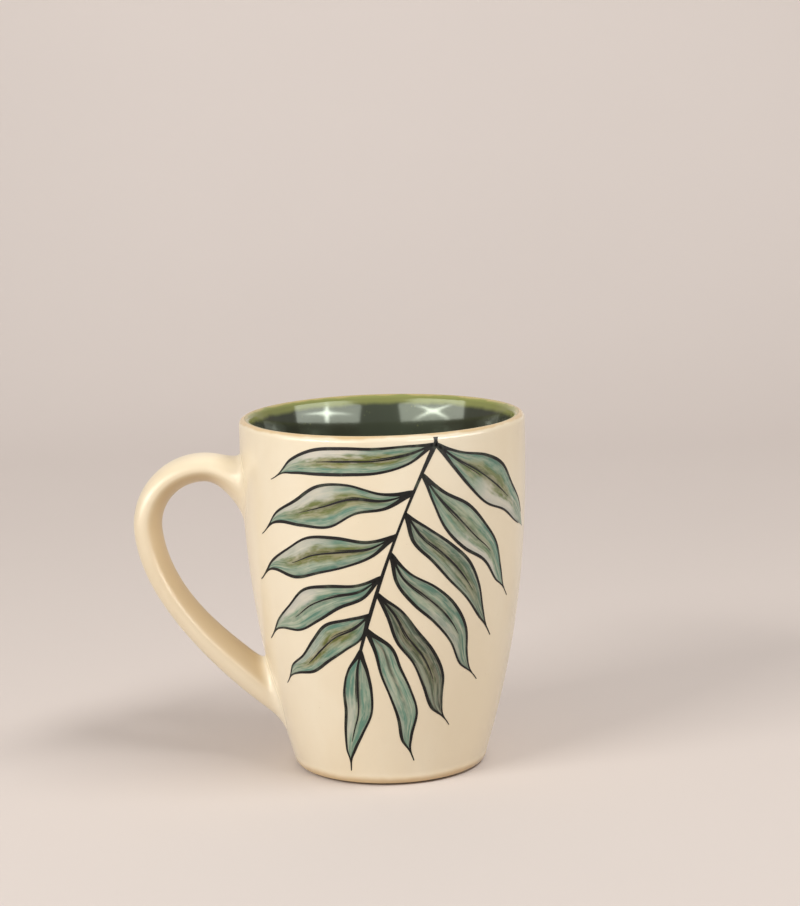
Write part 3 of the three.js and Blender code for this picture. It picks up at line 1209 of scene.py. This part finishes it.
    def _fillet(self, k: int, upper: bool, size: float = 1.0) -> list[Vector]:
        """Returns the run of glaze from the strap onto the wall along one line of the strap.

        Args:
            k: The line's number round the section.
            upper: True for the upper root.
            size: Share of the full fillet.

        Returns:
            Points from the strap to the wall.
        """
        ends = (0.0, 4 * self.buried) if upper else (self.length, self.length - 4 * self.buried)
        at = self._hit(k, *ends)
        away = self.fillet_on_strap * size * (1 if upper else -1)
        start, corner = self.surface(k, at + away), self.surface(k, at)
        root = self.upper_root if upper else self.lower_root
        end = self._wall_from(corner, root, self.fillet_on_wall * size)
        down_strap = (self.surface(k, at + 0.95 * away) - start).normalized()
        up_wall = (self._wall_from(corner, root, 0.95 * self.fillet_on_wall * size) - end).normalized()
        down_strap *= 0.65 * (start - corner).length
        up_wall *= 0.65 * (end - corner).length
        return cubic_line((start, start + down_strap, end + up_wall, end), self.fillet_steps)

    def glaze_mesh(self) -> Mesh:
        """Skins the strap from wall to wall.

        Returns:
            The skin, with both its rims just under the wall's glaze.
        """
        lines = []
        for k in range(self.around):
            upper, lower = self._fillet(k, True), self._fillet(k, False)
            start = self._hit(k, 0.0, 4 * self.buried) + self.fillet_on_strap
            end = self._hit(k, self.length, self.length - 4 * self.buried) - self.fillet_on_strap
            strap = [self.surface(k, mix(start, end, i / self.rings)) for i in range(1, self.rings)]
            sunk = [self._sunk(line[-1], line[-2]) for line in (upper, lower)]
            lines.append([sunk[0], *reversed(upper), *strap, *lower, sunk[1]])
        rings = len(lines[0])
        points = [line[ring] for ring in range(rings) for line in lines]
        mesh = new_mesh("handle_glaze_coat", points, tube_faces(rings, self.around))
        # Painted shade on the strap, kept as a point attribute that the glaze reads.
        painted_shade = [self._painted_shade_share(k, ring, rings) for ring in range(rings) for k in range(self.around)]
        mesh.attributes.new("painted_shade", "FLOAT", "POINT").data.foreach_set("value", painted_shade)
        return mesh

    def _painted_shade_share(self, k: int, ring: int, rings: int) -> float:
        """Works out the painted shade on the strap: strongest on the loop's inner side, where the cup shades
        it, lighter round the rest of the strap, and none at the roots.
        Args:
            k: The point's number round the section.
            ring: The section's number from the upper root.
            rings: Number of sections.

        Returns:
            A share, 0 to 1.
        """
        inner = mix(0.3, 1.0, eased((0.2 - math.cos(2 * math.pi * k / self.around)) / 0.75))
        from_upper = eased((ring - 0.5 * self.fillet_steps) / 30)
        from_lower = eased((rings - 1 - ring - 0.5 * self.fillet_steps) / 8)
        return inner * min(from_upper, from_lower)

    def _sunk(self, rim: Vector, before: Vector) -> Vector:
        """Carries a rim on, under the wall's glaze.

        Args:
            rim: The rim's point.
            before: The point before it.

        Returns:
            A point past the rim and a little inside the wall.
        """
        past = rim + (rim - before).normalized() * 0.8 * MM
        inward = Vector((self.form.axis_x - past.x, -past.y, 0)).normalized()
        return past + inward * (self.form.outside_by(past) + 0.1 * MM)

    def slip_mesh(self, name: str, upper: bool) -> Mesh:
        """Returns the collar of slip under the glaze at one root.

        Args:
            name: The mesh's name.
            upper: True for the upper root.

        Returns:
            A closed ring.
        """
        root = self.upper_root if upper else self.lower_root
        middle = self.form.place(math.pi, root, -self.form.glaze)
        points: list[Vector] = []
        for k in range(self.around):
            curve = self._fillet(k, upper, 0.55)
            corner = Vector(curve[0]).lerp(curve[-1], 0.5).lerp(middle, 0.35)
            points.extend([*curve[:: self.fillet_steps // 4], corner])
        per_section = len(points) // self.around
        faces = tube_faces(self.around, per_section, closed=True)
        if upper:
            faces = [tuple(reversed(face)) for face in faces]
        return new_mesh(name, points, faces)


def rounded(value: float, squareness: float) -> float:
    """Squares off one coordinate of a circle, where a squareness of 2 leaves it round."""
    return math.copysign(abs(value) ** (2 / squareness), value)


def cubic_line(points: Sequence[Vector], steps: int) -> list[Vector]:
    """Draws a cubic Bezier curve.

    Args:
        points: Its four points.
        steps: Number of steps.

    Returns:
        The points along it.
    """
    line = []
    for i in range(steps + 1):
        t = i / steps
        weights = ((1 - t) ** 3, 3 * t * (1 - t) ** 2, 3 * t * t * (1 - t), t**3)
        line.append(sum((p * w for p, w in zip(points, weights)), 0 * points[0]))
    return line


# ---- The painted frond ----


@dataclass(frozen=True)
class Leaf:
    """One leaf as the painter sets it out, in millimetres on the wall.

    Each edge is five distances off the straight line from root to tip, spaced evenly along it, and left is
    the left hand going that way. The last five are shares: of olive, dark and watery stain, and of the
    leaf's length that the rib and the outline reach.
    """

    along_stem: float
    heading: float
    length: float
    left: Sequence[float]
    right: Sequence[float]
    olive: float = 0.5
    dark: float = 0.0
    watery: float = 0.5
    rib: float = 0.66
    outlined: float = 1.0


FROND = (
    Leaf(0.0, -168, 52.5, (3.3, 3.8, 2.4, 0.7, -0.9), (-1.7, -3.1, -5.1, -6.2, -4.4),
         olive=1.0, watery=0.85),
    Leaf(0.0, -37, 50.0, (2.4, 6.3, 7.9, 5.8, 4.2), (-2.2, -4.1, -4.8, -2.6, -2.0),
         olive=0.8, watery=0.7, outlined=0.9),
    Leaf(9.2, -52, 51.0, (1.6, 5.1, 6.0, 5.8, 2.2), (-2.6, -4.6, -3.9, -1.0, -1.2),
         olive=0.45, watery=0.7),
    Leaf(14.8, -164, 52.5, (1.9, 0.9, 2.6, 0.2, -2.3), (-2.3, -7.5, -9.3, -6.9, -4.8),
         olive=0.9, watery=0.65),
    Leaf(21.2, -55, 48.5, (2.7, 5.3, 6.8, 5.4, 1.9), (-3.0, -2.0, -1.3, -0.2, -0.2),
         olive=0.6, dark=0.45, watery=0.1),
    Leaf(28.0, -161, 50.5, (3.2, 3.7, 3.1, 2.4, -1.7), (-1.0, -5.0, -7.4, -6.0, -3.9),
         olive=1.0, watery=0.6),
    Leaf(33.4, -57, 49.0, (1.2, 5.0, 6.7, 5.7, 1.0), (-3.3, -3.0, -1.2, -0.6, -2.0),
         olive=0.1, dark=0.22, watery=0.35),
    Leaf(40.6, -151, 46.5, (2.8, 2.1, 2.6, 2.6, -0.8), (-1.2, -4.9, -7.3, -5.3, -3.2),
         olive=0.1, watery=0.7),
    Leaf(45.7, -64, 47.0, (3.7, 5.0, 6.2, 5.5, 1.2), (-0.5, -1.6, -0.5, -1.2, -2.2),
         olive=0.8, dark=0.88, watery=0.0),
    Leaf(52.3, -141, 38.5, (3.8, 3.7, 3.3, 3.0, 0.0), (-2.9, -5.5, -4.4, -2.8, -2.7),
         olive=1.0, watery=0.3),
    Leaf(56.9, -73, 43.5, (4.9, 5.5, 6.1, 5.6, 1.5), (0.3, -0.3, 0.0, 0.0, -1.1),
         olive=0.0, watery=0.2, rib=0.0),
    Leaf(64.2, -96, 38.5, (2.5, 4.2, 4.6, 2.6, 0.5), (-3.1, -3.9, -2.9, -2.6, -1.7),
         olive=0.0, watery=0.4, rib=0.75),
)


@dataclass(frozen=True)
class Stroke:
    """One pull of the brush: its line on the wall and its width along that line, in millimetres."""

    line: Sequence[Point]
    widths: Sequence[float]


def paint_tree() -> NodeTree:
    """Builds the tree that lays a flat shape on a turned wall.

    Returns:
        The geometry tree. It is given a flat shape whose x is a distance round the wall from its front, and
        whose z is a height.
    """
    takes = {
        "Flat Shape": SocketKind.GEOMETRY,
        "Wall": SocketKind.OBJECT,
        "Axis X": SocketKind.FLOAT,
        "Reach": SocketKind.FLOAT,
        "Lift": SocketKind.FLOAT,
        "Finish": SocketKind.MATERIAL,
    }
    tree = new_tree("laid_on_the_wall", "GeometryNodeTree", takes, {"Paint": SocketKind.GEOMETRY})
    net = Net(tree)
    given = net.node("NodeGroupInput").outputs
    wall = net.node("GeometryNodeObjectInfo", None, Object=given["Wall"]).outputs["Geometry"]
    round_by, _, height = net.split(net.node("GeometryNodeInputPosition").outputs[0])

    def probe(angle: Any) -> Node:
        """Adds a ray from outside the wall straight to the axis.

        Args:
            angle: Where it starts, in radians round from the front.

        Returns:
            The ray's node.
        """
        side, front = net.calc("SINE", angle), net.calc("COSINE", angle)
        start_x = net.calc("MULTIPLY_ADD", side, given["Reach"], given["Axis X"])
        start_y = net.calc("MULTIPLY", net.calc("MULTIPLY", front, -1), given["Reach"])
        start = net.xyz(start_x, start_y, height)
        inwards = net.xyz(net.calc("MULTIPLY", side, -1), front, 0.0)
        rays = {"Source_Position": start, "Ray_Direction": inwards, "Ray_Length": given["Reach"]}
        return net.node("GeometryNodeRaycast", None, Target_Geometry=wall, **rays)

    radius = net.calc("SUBTRACT", given["Reach"], probe(0.0).outputs["Hit Distance"])
    landed = probe(net.calc("DIVIDE", round_by, radius))
    hit, normal = landed.outputs["Hit Position"], landed.outputs["Hit Normal"]
    raised = net.node("ShaderNodeVectorMath", {"operation": "SCALE"}, Vector=normal, Scale=given["Lift"])
    place = net.node("ShaderNodeVectorMath", {"operation": "ADD"}, i0=hit, i1=raised.outputs[0])
    moved = net.node("GeometryNodeSetPosition", None, Geometry=given["Flat Shape"], Position=place.outputs[0])
    realized = net.node("GeometryNodeRealizeInstances", None, Geometry=moved.outputs[0])
    dressed = {"Geometry": realized.outputs[0], "Material": given["Finish"]}
    finished = net.node("GeometryNodeSetMaterial", None, **dressed)
    net.node("NodeGroupOutput", None, Paint=finished.outputs[0])
    return tree


@dataclass
class PaintedFrond:
    """A hanging frond: a stem from the lip, leaves in pairs down it, and one leaf at its end."""

    form: CupForm
    wall: Piece
    stem_top: Point = (15.1, 102.2)
    stem_bend: Point = (1.2, 77.0)
    stem_end: Point = (-7.9, 42.9)
    film: float = 0.04
    outline_width: float = 0.8
    root_width: float = 1.4
    blade: float = 0.82
    leaf_rows: int = 12
    leaf_steps: int = 64
    seed: int = 7
    tree: NodeTree = field(default_factory=paint_tree)

    def __post_init__(self) -> None:
        """Sets out the stem once."""
        self.hand = random.Random(self.seed)
        self.stem = [quadratic(self.stem_top, self.stem_bend, self.stem_end, i / 80) for i in range(81)]

    def _on_stem(self, along: float) -> Point:
        """Walks down the stem.

        Args:
            along: A distance from its top.

        Returns:
            The point there.
        """
        for before, after in zip(self.stem, self.stem[1:]):
            step = math.dist(before, after)
            if along <= step:
                return mix(before[0], after[0], along / step), mix(before[1], after[1], along / step)
            along -= step
        return self.stem[-1]

    def _leaf_point(self, leaf: Leaf, across: float, share: float) -> Point:
        """Returns a point of a leaf.

        Args:
            leaf: The leaf.
            across: 0 on its right edge, 1 on its left edge.
            share: Share of the way from root to tip.

        Returns:
            The point on the wall. Both edges of a pointed leaf meet a little before its tip.
        """
        left, right = (smooth_through((0.0, *edge, 0.0), share) for edge in (leaf.left, leaf.right))
        closing = eased((share - self.blade) / 0.14) if leaf.outlined == 1.0 else 0.0
        off = mix(mix(right, left, across), (left + right) / 2, closing)
        angle, root, forward = math.radians(leaf.heading), self._on_stem(leaf.along_stem), share * leaf.length
        x = root[0] + forward * math.cos(angle) - off * math.sin(angle)
        z = root[1] + forward * math.sin(angle) + off * math.cos(angle)
        return x, z

    def _leaf_line(self, leaf: Leaf, across: float, until: float = 1.0) -> list[Point]:
        """Returns a line along a leaf, from its root to a share of its length."""
        shares = (until * i / self.leaf_steps for i in range(self.leaf_steps + 1))
        return [self._leaf_point(leaf, across, share) for share in shares]

    def washes(self, finish: Material) -> Piece:
        """Lays the green stain inside every leaf.

        Args:
            finish: Its material.

        Returns:
            The piece.
        """
        points: list[Point] = []
        faces: list[tuple[int, ...]] = []
        uvs: list[Point] = []
        traits: dict[str, list[float]] = {"seed": [], "olive": [], "dark": [], "watery": []}
        for number, leaf in enumerate(FROND):
            start, rows, steps = len(points), self.leaf_rows, self.leaf_steps
            for row in range(rows + 1):
                points.extend(self._leaf_line(leaf, row / rows))
                uvs.extend((step / steps, row / rows) for step in range(steps + 1))
            for row in range(rows):
                for step in range(steps):
                    corner = start + row * (steps + 1) + step
                    faces.append((corner, corner + 1, corner + steps + 2, corner + steps + 1))
            values = {"seed": number * 3.7, "olive": leaf.olive, "dark": leaf.dark, "watery": leaf.watery}
            for name, value in values.items():
                traits[name].extend([value] * (len(points) - start))
        mesh = new_mesh("frond_leaf_washes", [(x * MM, 0, z * MM) for x, z in points], faces)
        layer = mesh.uv_layers.new(name="UVMap")
        for loop in mesh.loops:
            layer.data[loop.index].uv = uvs[loop.vertex_index]
        for name, trait in traits.items():
            mesh.attributes.new(f"leaf_{name}", "FLOAT", "POINT").data.foreach_set("value", trait)
        return self._lay(new_piece("frond_leaf_washes", mesh), self.film, finish)

    def ink(self, finish: Material) -> Piece:
        """Lays the stem, the outlines and the ribs.

        Args:
            finish: Its material.

        Returns:
            The piece.
        """
        points: list[Point] = []
        faces: list[tuple[int, ...]] = []
        for stroke in self._strokes():
            add_ribbon(stroke, points, faces)
        mesh = new_mesh("frond_ink_lines", [(x * MM, 0, z * MM) for x, z in points], faces)
        return self._lay(new_piece("frond_ink_lines", mesh), 2 * self.film, finish)

    def _lay(self, piece: Piece, lift: float, finish: Material) -> Piece:
        """Lays a flat shape on the wall as a thin film.

        Args:
            piece: The flat shape.
            lift: How far its face stands off the wall.
            finish: Its material.

        Returns:
            The same piece.
        """
        values = {
            "Wall": self.wall,
            "Axis X": self.form.axis_x,
            "Reach": 60 * MM,
            "Lift": lift * MM,
            "Finish": finish,
        }
        return thickened(grown(piece, self.tree, values), 2 * self.film * MM)

    def _strokes(self) -> Iterator[Stroke]:
        """Sets out the brushwork in the painter's order.

        Yields:
            Every pull of the brush: the tuft at the lip, the stem, and each leaf's edges and ribs.
        """
        top = (self.stem_top[0] + 0.1, self.stem_top[1])
        tuft = [1.5, 1.3, 1.1, 1.0, 1.1, 1.3, 1.6, 1.8]
        yield Stroke([(top[0], top[1] + 1.9 - 0.3 * i) for i in range(len(tuft))], tuft)
        yield Stroke(self.stem, self._widths(81, 1.35, 0.95, 0.8))
        for leaf in FROND:
            for across in (0.0, 1.0):
                line = self._leaf_line(leaf, across, leaf.outlined)
                yield Stroke(line, self._widths(len(line), self.root_width, self.outline_width, 0.26))
            if leaf.rib:
                line = self._leaf_line(leaf, 0.5, leaf.rib)
                yield Stroke(line, self._widths(len(line), 0.85, 0.5, 0.12))
                line = self._leaf_line(leaf, 0.43, leaf.rib * 0.55)
                yield Stroke(line, self._widths(len(line), 0.7, 0.3, 0.06))

    def _widths(self, count: int, start: float, middle: float, end: float) -> list[float]:
        """Returns a brush width for each point of a line, with the waver of a hand.

        Args:
            count: Number of points.
            start: Width where the brush lands.
            middle: Width along most of the line.
            end: Width where it lifts.

        Returns:
            The widths.
        """
        phase, pace = self.hand.uniform(0, 6.3), self.hand.uniform(6, 11)
        widths = []
        for i in range(count):
            share = i / (count - 1)
            landing = max(0.0, 1 - share / 0.2) ** 1.6 * min(1.0, 0.3 + share / 0.04)
            lifting = max(0.0, (share - 0.8) / 0.2)
            width = mix(mix(middle, start, landing), end, lifting)
            widths.append(width * (1 + 0.2 * math.sin(phase + pace * share)))
        return widths


def eased(share: float) -> float:
    """Returns a share from 0 to 1 that starts and ends slowly."""
    held = min(max(share, 0.0), 1.0)
    return held * held * (3 - 2 * held)


def smooth_through(values: Sequence[float], share: float) -> float:
    """Reads a smooth curve through values spaced evenly along it.

    Args:
        values: The values.
        share: A share of the curve's run.

    Returns:
        The curve's value there.
    """
    spans = len(values) - 1
    place = min(max(share, 0.0), 1.0) * spans
    i = min(int(place), spans - 1)
    t = place - i
    p0, p1, p2, p3 = (values[min(max(i + k, 0), spans)] for k in (-1, 0, 1, 2))
    slope1, slope2 = (p2 - p0) / 2, (p3 - p1) / 2
    curve = (2 * p1 - 2 * p2 + slope1 + slope2) * t + (3 * p2 - 3 * p1 - 2 * slope1 - slope2)
    return (curve * t + slope1) * t + p1


def add_ribbon(stroke: Stroke, points: list[Point], faces: list[tuple[int, ...]]) -> None:
    """Adds a stroke to a flat mesh as a ribbon of quads.

    Args:
        stroke: The stroke.
        points: The mesh's points, added to.
        faces: The mesh's faces, added to.
    """
    start, line = len(points), stroke.line
    for i, (x, z) in enumerate(line):
        before, after = line[max(i - 1, 0)], line[min(i + 1, len(line) - 1)]
        run, rise = after[0] - before[0], after[1] - before[1]
        length = math.hypot(run, rise) or 1.0
        half = stroke.widths[i] / 2
        for side in (1, 0, -1):
            points.append((x - rise / length * half * side, z + run / length * half * side))
    for i in range(len(line) - 1):
        for lane in (0, 1):
            corner = start + 3 * i + lane
            faces.append((corner, corner + 1, corner + 4, corner + 3))


# ---- The studio ----


@dataclass(frozen=True)
class Softbox:
    """A broad light, and the lit cloth of it that glossy glaze mirrors."""

    name: str
    azimuth: float
    elevation: float
    distance: float
    width: float
    height: float
    power: float
    glow: float
    roll: float = 0.0
    core: float = 0.35
    lamp_rise: float = 17.0
    tint: Colour = (1.0, 0.985, 0.955)

    def build(self, target: Vector) -> None:
        """Adds the light and its lit cloth.

        Args:
            target: The point that both face.
        """
        light = bpy.data.lights.new(self.name, "AREA")
        light.shape, light.size, light.size_y = "RECTANGLE", self.core * self.width, self.core * self.height
        light.energy, light.color = self.power, self.tint
        lamp = bpy.data.objects.new(self.name, light)
        lamp.matrix_world = self._facing(target, self.elevation + self.lamp_rise)
        lamp.visible_glossy = False
        bpy.context.scene.collection.objects.link(lamp)
        place = self._facing(target, self.elevation)
        sides = ((-0.5, -0.5), (0.5, -0.5), (0.5, 0.5), (-0.5, 0.5))
        corners = [place @ Vector((x * self.width, y * self.height, 0)) for x, y in sides]
        mesh = new_mesh(f"{self.name}_cloth", corners, [(0, 1, 2, 3)])
        layer = mesh.uv_layers.new(name="UVMap")
        for loop, uv in zip(mesh.loops, ((0, 0), (1, 0), (1, 1), (0, 1))):
            layer.data[loop.index].uv = uv
        cloth = new_piece(f"{self.name}_cloth", mesh, self._cloth())
        cloth.visible_camera = cloth.visible_diffuse = cloth.visible_shadow = False
        cloth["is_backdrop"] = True

    def _facing(self, target: Vector, elevation: float) -> Matrix:
        """Places something on this box's side of a target.

        Args:
            target: The point it faces.
            elevation: Its height above the target, in degrees.

        Returns:
            Its matrix.
        """
        around, up = math.radians(self.azimuth), math.radians(elevation)
        away = Vector((math.sin(around) * math.cos(up), -math.cos(around) * math.cos(up), math.sin(up)))
        turn = away.to_track_quat("Z", "Y").to_matrix().to_4x4()
        return Matrix.Translation(target + away * self.distance) @ turn

    def _cloth(self) -> Material:
        """Builds the lit cloth's material.

        Returns:
            An emitter, brightest along the ribs that cross behind the cloth, which fades at its edges.
        """
        material = bpy.data.materials.new(f"{self.name}_cloth")
        material.use_nodes = True
        material.node_tree.nodes.clear()
        net = Net(material.node_tree)
        flat = net.node("ShaderNodeUVMap", {"uv_map": "UVMap"}).outputs[0]
        centred = net.scaled(flat, (1, 1, 0), (-0.5, -0.5, 0))
        spin = {"rotation_type": "Z_AXIS"}
        turned = net.node("ShaderNodeVectorRotate", spin, Vector=centred, Angle=math.radians(self.roll))
        u, v, _ = net.split(turned.outputs[0])
        from_u, from_v = net.calc("ABSOLUTE", u), net.calc("ABSOLUTE", v)
        reach = net.fade(net.calc("ADD", from_u, from_v), 0.45, 0.05)
        ribs = net.calc("MAXIMUM", net.fade(from_u, 0.04, 0.008), net.fade(from_v, 0.04, 0.008))
        lamp = net.fade(net.calc("ADD", from_u, from_v), 0.18, 0.02)
        lit = net.calc("MAXIMUM", net.calc("MULTIPLY", ribs, reach), lamp)
        sides = [net.calc("ABSOLUTE", value) for value in net.split(centred)[:2]]
        border = net.fade(net.calc("MAXIMUM", *sides), 0.5, 0.46)
        corners = net.fade(net.calc("ADD", *sides), 0.97, 0.88)
        glow = net.calc("MULTIPLY", net.calc("MULTIPLY", border, corners), self.glow)
        strength = net.calc("MULTIPLY_ADD", lit, 4 * self.glow, glow)
        emitter = net.node("ShaderNodeEmission", None, Color=self.tint, Strength=strength)
        net.node("ShaderNodeOutputMaterial", None, Surface=emitter.outputs[0])
        return material


@dataclass
class Studio:
    """A pale seamless sweep, two softboxes, a weak fill and the camera."""

    form: CupForm
    sweep: Colour = srgb(216, 207, 202)
    room: Colour = (1.0, 0.97, 0.945)
    room_strength: float = 0.42
    backdrop_colour: Colour = (1.0, 0.99, 0.985)
    backdrop_size: float = 1.0
    backdrop_place: tuple[float, float, float] = (0.0, 0.5, 1.1)
    backdrop_power: float = 1.2
    backdrop_spread: float = 105
    backdrop_tilt: float = 50
    sweep_width: float = 4.0
    floor_front: float = -1.6
    wall_from: float = 0.55
    bend: float = 0.5
    wall_height: float = 2.4
    camera_back: float = 0.7
    camera_height: float = 0.2128
    camera_pitch: float = 0.1693
    camera_yaw: float = 0.0073
    camera_roll: float = -0.0262
    lens: float = 95.46

    def build(self) -> None:
        """Builds the whole studio."""
        self._sweep()
        target = Vector((self.form.axis_x, 0, self.form.lip_height * 0.6))
        boxes = (
            Softbox("left_softbox", -50, 15, 1.3, 1.69, 0.6, 9.0, 5.4, roll=40, tint=(1.0, 0.975, 0.93)),
            Softbox("right_softbox", 53, 15, 1.3, 1.69, 0.6, 8.8, 5.4, core=0.5, lamp_rise=43),
        )
        for box in boxes:
            box.build(target)
        self._backdrop_light()
        self._world()
        self._camera()
        bpy.context.scene.view_settings.view_transform = "Standard"

    def _sweep(self) -> None:
        """Adds the floor that curves up into the wall behind."""
        line = [(self.floor_front, 0.0), *arc((self.wall_from, self.bend), self.bend, -math.pi / 2, 0, 24)]
        line.append((self.wall_from + self.bend, self.wall_height))
        half = self.sweep_width / 2
        points = [(side * half, y, z) for y, z in line for side in (-1, 1)]
        faces = [(2 * i, 2 * i + 1, 2 * i + 3, 2 * i + 2) for i in range(len(line) - 1)]
        material, net, shader = new_material("pale_sweep")
        coords = net.node("ShaderNodeTexCoord").outputs["Object"]
        drift = net.fade(net.noise(coords, 1.6, 3), 0.3, 0.7)
        darker = tuple(0.965 * value for value in self.sweep)
        net.tree.links.new(net.blend(drift, self.sweep, darker), shader.inputs["Base Color"])
        shader.inputs["Roughness"].default_value = 0.9
        shader.inputs["Specular IOR Level"].default_value = 0.15
        new_piece("pale_sweep", new_mesh("pale_sweep", points, faces), material)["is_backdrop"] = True

    def _backdrop_light(self) -> None:
        """Adds the light behind the cup that falls on the rising sweep."""
        light = bpy.data.lights.new("backdrop_light", "AREA")
        light.shape, light.size, light.energy = "SQUARE", self.backdrop_size, self.backdrop_power
        light.color, light.spread = self.backdrop_colour, math.radians(self.backdrop_spread)
        lamp = bpy.data.objects.new("backdrop_light", light)
        lamp.location = self.backdrop_place
        lamp.rotation_euler = (math.radians(self.backdrop_tilt), 0.0, 0.0)
        lamp.visible_glossy = False
        bpy.context.scene.collection.objects.link(lamp)

    def _world(self) -> None:
        """Sets the dim light of the room."""
        world = bpy.data.worlds.new("room")
        world.use_nodes = True
        background = world.node_tree.nodes["Background"]
        background.inputs["Color"].default_value = (*self.room, 1.0)
        background.inputs["Strength"].default_value = self.room_strength
        bpy.context.scene.world = world

    def _camera(self) -> None:
        """Adds the camera, a little above the rim and looking slightly down."""
        camera = bpy.data.cameras.new("camera")
        camera.lens = self.lens
        camera.clip_start = 0.01
        seat = bpy.data.objects.new("camera", camera)
        pitch, yaw, roll = self.camera_pitch, self.camera_yaw, self.camera_roll
        ahead = Vector((math.sin(yaw) * math.cos(pitch), math.cos(yaw) * math.cos(pitch), -math.sin(pitch)))
        level = ahead.cross(Vector((0, 0, 1))).normalized()
        upright = level.cross(ahead)
        right = level * math.cos(roll) + upright * math.sin(roll)
        up = upright * math.cos(roll) - level * math.sin(roll)
        place = Matrix.Translation((self.form.axis_x, -self.camera_back, self.camera_height))
        seat.matrix_world = place @ Matrix((right, up, -ahead)).transposed().to_4x4()
        bpy.context.scene.collection.objects.link(seat)
        bpy.context.scene.camera = seat


# ---- Assembly ----


def declare(piece: Piece, slot: str, *nodes: str) -> None:
    """Hangs a piece on the body's empty, hides the CAD nodes it stands for, and logs its face count and slot.

    Args:
        piece: The piece.
        slot: The record's material slot.
        *nodes: The CAD nodes it replaces, if any.
    """
    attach(piece, BODY)
    if nodes:
        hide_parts(*nodes)
    count = len(piece.data.polygons)
    LOG.info("%s: %d faces, slot %s, stands for %s", piece.name, count, slot, nodes or "no node")


@dataclass
class Mug:
    """The whole mug, built from the clay outwards."""

    form: CupForm
    effects: Effects
    wheel: Wheel = field(init=False)
    ware: Ware = field(init=False)

    def __post_init__(self) -> None:
        """Readies the wheel and the finishes' shared facts."""
        self.wheel = Wheel(self.form)
        self.ware = Ware(self.effects, self.form)

    def build(self) -> None:
        """Builds every piece in the order that a potter makes them."""
        clay = FiredClay("bare_stoneware", srgb(205, 178, 136), srgb(192, 158, 112)).build(self.ware)
        paler = FiredClay("luting_slip", srgb(214, 190, 152), srgb(200, 172, 128), dryness=0.75)
        slip = paler.build(self.ware)
        cream = CreamGlaze()
        satin = CreamGlaze("handle_cream_glaze", gloss=0.28, coat=0.06, coat_roughness=0.2)
        self._cup(clay, cream.build(self.ware))
        self._handle(clay, slip, satin.build(self.ware))
        self._frond(cream)

    def _cup(self, clay: Material, cream: Material) -> None:
        """Turns the clay cup and its three coats.

        Args:
            clay: The bare clay.
            cream: The outside's glaze.
        """
        form, wheel = self.form, self.wheel
        declare(wheel.turn("thrown_clay_cup", form.clay_section(), clay), "bare_stoneware", "cup_body")
        self.wall = wheel.coat("cream_outer_coat", form.outer_line(), cream)
        declare(self.wall, "cream_glaze", "outer_glaze")
        liner = GreenLiner().build(self.ware)
        declare(wheel.coat("green_liner_coat", form.inner_line(), liner), "green_liner_glaze", "liner_glaze")
        under = wheel.coat("cream_underside_coat", form.recess_line(), cream)
        declare(under, "underside_cream_glaze", "underside_glaze")

    def _handle(self, clay: Material, slip: Material, cream: Material) -> None:
        """Dresses the clay strap, and adds its slip joints and its glaze.

        Args:
            clay: The bare clay.
            slip: The joints' slip.
            cream: The handle's glaze.
        """
        handle = Handle(self.form)
        strap = bpy.data.objects["handle"]
        strap.data.materials.clear()
        strap.data.materials.append(clay)
        for name, upper in (("upper_slip_joint", True), ("lower_slip_joint", False)):
            collar = new_piece(f"{name}_collar", handle.slip_mesh(f"{name}_collar", upper), slip)
            declare(collar, "slip", name)
        coat = thickened(new_piece("handle_cream_coat", handle.glaze_mesh(), cream), 0.3 * MM)
        declare(coat, "handle_cream_glaze", "handle_glaze")

    def _frond(self, cream: CreamGlaze) -> None:
        """Paints the frond on the front of the cup.

        Args:
            cream: The glaze it is painted on.
        """
        frond = PaintedFrond(self.form, self.wall)
        declare(frond.washes(LeafWash(cream).build(self.ware)), "cream_glaze")
        declare(frond.ink(BrushInk().build(self.ware)), "cream_glaze")


def write_sizes() -> None:
    boxes = {"cad": CAD_BOX, "visual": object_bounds()}
    sizes = {name: [list(corner) for corner in box] for name, box in boxes.items()}
    LOG.info("sizes: %s", sizes)


def main() -> None:
    """Builds the mug and the studio round it."""
    logging.basicConfig(level=logging.INFO, format="%(name)s: %(message)s")
    form = CupForm.from_frame()
    Mug(form, Effects()).build()
    Studio(form).build()
    write_sizes()


if __name__ == "__main__":
    main()
